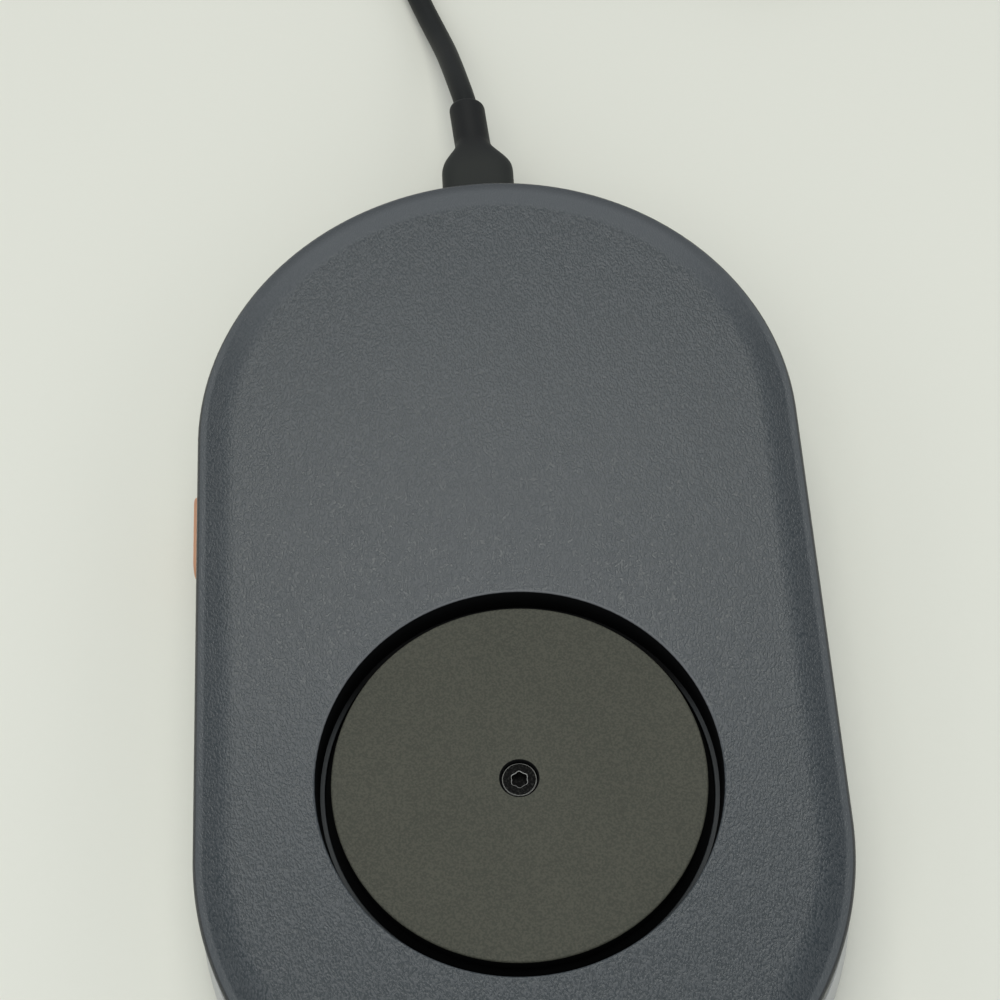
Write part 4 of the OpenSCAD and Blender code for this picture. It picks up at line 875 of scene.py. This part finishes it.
far_x, far_z = far_end[0], far_end[2]
nickel_finish = Finish("nickel_plate", Metallic=1.0)
spot = nickel_finish.place()
drawn = nickel_finish.noise(nickel_finish.laid(spot, scale=(1, 0.15, 1)), 0.0006, 3.0)
nickel_finish.colour((0.55, 0.56, 0.57), (0.66, 0.66, 0.66), drawn)
nickel_finish.set("Roughness", drawn * 0.15 + 0.2)
sheet_rows = [(0.5, 134), (0.6, 133.9), (0.6, 122.1), (0.52, 122), (0.3, 122), (0.25, 122.08), (0.25, 133)]
sheet_rings = (corner_rings(sheet_rows, 6.0, 2.25, 0.6)[..., [0, 2, 1]] + (far_x, 0, far_z)) * MM
far_shell = joined("far_shell", [(sheet_rings, False, False)], nickel_finish, None)
window = corner_rings([(0.2, 1.0), (0.2, 4.0)], 1.1, 1.1, 0.2) + (far_x, 129.0, far_z)
windows = [((window + (side * 2.8, 0, 0)) * MM, False, False) for side in (-1, 1)]
cut_away(far_shell, joined("windows", windows, nickel_finish, None))
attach(far_shell, "case")
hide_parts("far_plug_shell")

white_finish = Finish("tongue_white", Roughness=0.4)
spot = white_finish.place()
contact_step = 2.4
lane = (white_finish.part_mm(spot, "X") - far_x + contact_step / 2).to_and_fro(contact_step / 2)
gilt = (1 - lane.between(0.42, 0.5)) * white_finish.part(spot, "Z").between(0.00383, 0.00385)
white_finish.colour((0.82, 0.81, 0.78), (0.83, 0.62, 0.24), gilt)
white_finish.set("Metallic", gilt)
tongue_rows = [(0.1, 122.6), (0.2, 122.7), (0.2, 132.9), (0.1, 133.0)]
tongue_rings = (corner_rings(tongue_rows, 5.6, 0.9, 0.2)[..., [0, 2, 1]] + (far_x, 0, far_z - 0.95)) * MM
far_tongue = joined("far_tongue", [(tongue_rings, False, True)], white_finish, "case")
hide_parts("far_plug_tongue")

# ------------------------------------------------------------------------------------------
# Gear train: acetal gears on steel pins, driven by a brass pinion on the motor's shaft. The
# spindle runs in a brass bush, and a glass-filled plate holds them all.


def dress(finish, *nodes):
    """Gives CAD nodes, whose shape stays as it is, one finish."""
    for name in nodes:
        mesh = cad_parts[name].data
        mesh.materials.clear()
        mesh.materials.append(finish.material)
        mesh.polygons.foreach_set("material_index", np.zeros(len(mesh.polygons), np.int32))


acetal_finish = Finish("acetal", Roughness=0.42, Specular_IOR_Level=0.5)
spot = acetal_finish.place()
acetal_finish.colour((0.74, 0.74, 0.70), (0.82, 0.82, 0.79), acetal_finish.noise(spot, 0.004, 2.0))
acetal_finish.bump(acetal_finish.noise(spot, 0.0005), 0.00002, 0.4)
dress(acetal_finish, "drive_gear", "second_gear", "first_gear")

brass_finish = Finish("turned_brass", Metallic=1.0)
spot = brass_finish.place()
turning = brass_finish.noise(brass_finish.laid(spot, scale=(0.2, 0.2, 3)), 0.0005, 2.0)
brass_finish.colour((0.70, 0.50, 0.21), (0.80, 0.62, 0.32), turning)
brass_finish.set("Roughness", turning * 0.2 + 0.2)
dress(brass_finish, "spindle_bush", "motor_pinion")

ground_finish = Finish("ground_steel", Metallic=1.0)
spot = ground_finish.place()
grinding = ground_finish.noise(ground_finish.laid(spot, scale=(0.2, 0.2, 3)), 0.0004, 2.0)
ground_finish.colour((0.54, 0.54, 0.56), (0.66, 0.66, 0.68), grinding)
ground_finish.set("Roughness", grinding * 0.2 + 0.18)
dress(ground_finish, "spindle", "gear_pins", "motor_shaft")

plate_finish = Finish("glass_filled_plate", Roughness=0.6)
spot = plate_finish.place()
fibre = plate_finish.noise(plate_finish.laid(spot, scale=(1, 0.3, 1), turn=(0, 0, 0.7)), 0.0008, 3.0)
plate_finish.colour((0.030, 0.030, 0.032), (0.052, 0.052, 0.055), fibre)
plate_finish.bump(fibre, 0.00003)
dress(plate_finish, "gear_plate")
dress(zinc_finish, "plate_screws", "motor_screws", "board_screws")

# ------------------------------------------------------------------------------------------
# Motor: a flat permanent-magnet motor in a plated sheet can, with four leads, each in its own
# colour, to the board.

can_finish = Finish("plated_sheet", Metallic=1.0)
spot = can_finish.place()
sheen = can_finish.noise(spot, 0.003, 4.0)
can_finish.colour((0.50, 0.51, 0.52), (0.60, 0.61, 0.62), sheen)
can_finish.set("Roughness", sheen * 0.2 + 0.25)
dress(can_finish, "motor_can", "motor_flange")

motor_x, header_x, leads_from, leads_to = 7.75, 9.25, 31.97, 36.47
step_from, step_more = 1.0, 0.4
lead_tones = {"red": ((0.45, 0.02, 0.015), (0.60, 0.04, 0.03)),
              "yellow": ((0.62, 0.46, 0.02), (0.75, 0.58, 0.04)),
              "blue": ((0.02, 0.05, 0.32), (0.03, 0.08, 0.42)),
              "black": ((0.012, 0.012, 0.012), (0.02, 0.02, 0.02))}
lead_finishes = [clouded("lead_" + name, *tones, 0.002, Roughness=0.4) for name, tones in lead_tones.items()]


def lead_number(middle, normal):
    """Which of the four leads a face belongs to: their step grows from the motor to the header."""
    along = np.clip((middle[:, 1] - leads_from) / (leads_to - leads_from), 0, 1)
    lane = (middle[:, 0] - motor_x - (header_x - motor_x) * along) / (step_from + step_more * along)
    return np.clip(np.round(lane + 1.5), 0, 3)


dress(lead_finishes[0], "motor_leads")
add_finishes(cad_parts["motor_leads"], lead_finishes[1:], lead_number)

# ------------------------------------------------------------------------------------------
# Circuit board: green solder mask over copper tracks, with the controller, a storage capacitor,
# small ceramic parts, the header of the motor's leads and the socket at the rear.

board_finish = Finish("solder_mask", Roughness=0.35)
spot = board_finish.place()
track = board_finish.cells(spot, 0.0022, "DISTANCE_TO_EDGE").between(0.05, 0.09)
board_finish.colour((0.035, 0.20, 0.075), (0.012, 0.10, 0.040), track)
board_finish.bump(1 - track, 0.00003)
dress(board_finish, "circuit_board")

black_finish = Finish("black_moulding", Roughness=0.55)
spot = black_finish.place()
speck = black_finish.noise(spot, 0.0004, 3.0)
black_finish.colour((0.014, 0.014, 0.015), (0.028, 0.028, 0.029), speck)
black_finish.bump(speck, 0.00002)
dress(black_finish, "controller_chip", "side_switch", "socket_tongue")
dress(nickel_finish, "chip_legs", "usb_socket", "plug_tip")

foil_top = 11.8
foil_finish = Finish("aluminium_can", Metallic=1.0)
spot = foil_finish.place()
mark = foil_finish.part(spot, "Z").between((foil_top - 0.06) * MM, (foil_top - 0.05) * MM) \
    * foil_finish.part(spot, "X").between(-0.0228, -0.0227)
foil = foil_finish.mixed((0.60, 0.61, 0.62), (0.70, 0.71, 0.72), foil_finish.noise(spot, 0.002))
foil_finish.colour(foil, (0.02, 0.02, 0.03), mark)
foil_finish.set("Metallic", 1 - mark)
foil_finish.set("Roughness", foil_finish.noise(spot, 0.001) * 0.2 + 0.2)
dress(foil_finish, "storage_capacitor")

dress(clouded("ceramic_parts", (0.22, 0.15, 0.10), (0.38, 0.29, 0.20), 0.005, Roughness=0.4),
      "small_components")
dress(clouded("ivory_moulding", (0.74, 0.70, 0.58), (0.82, 0.79, 0.69), 0.002, Roughness=0.45),
      "lead_header", "lead_connector")
dress(clouded("plunger_red", (0.36, 0.016, 0.014), (0.45, 0.03, 0.025), 0.001, Roughness=0.3),
      "switch_plunger")
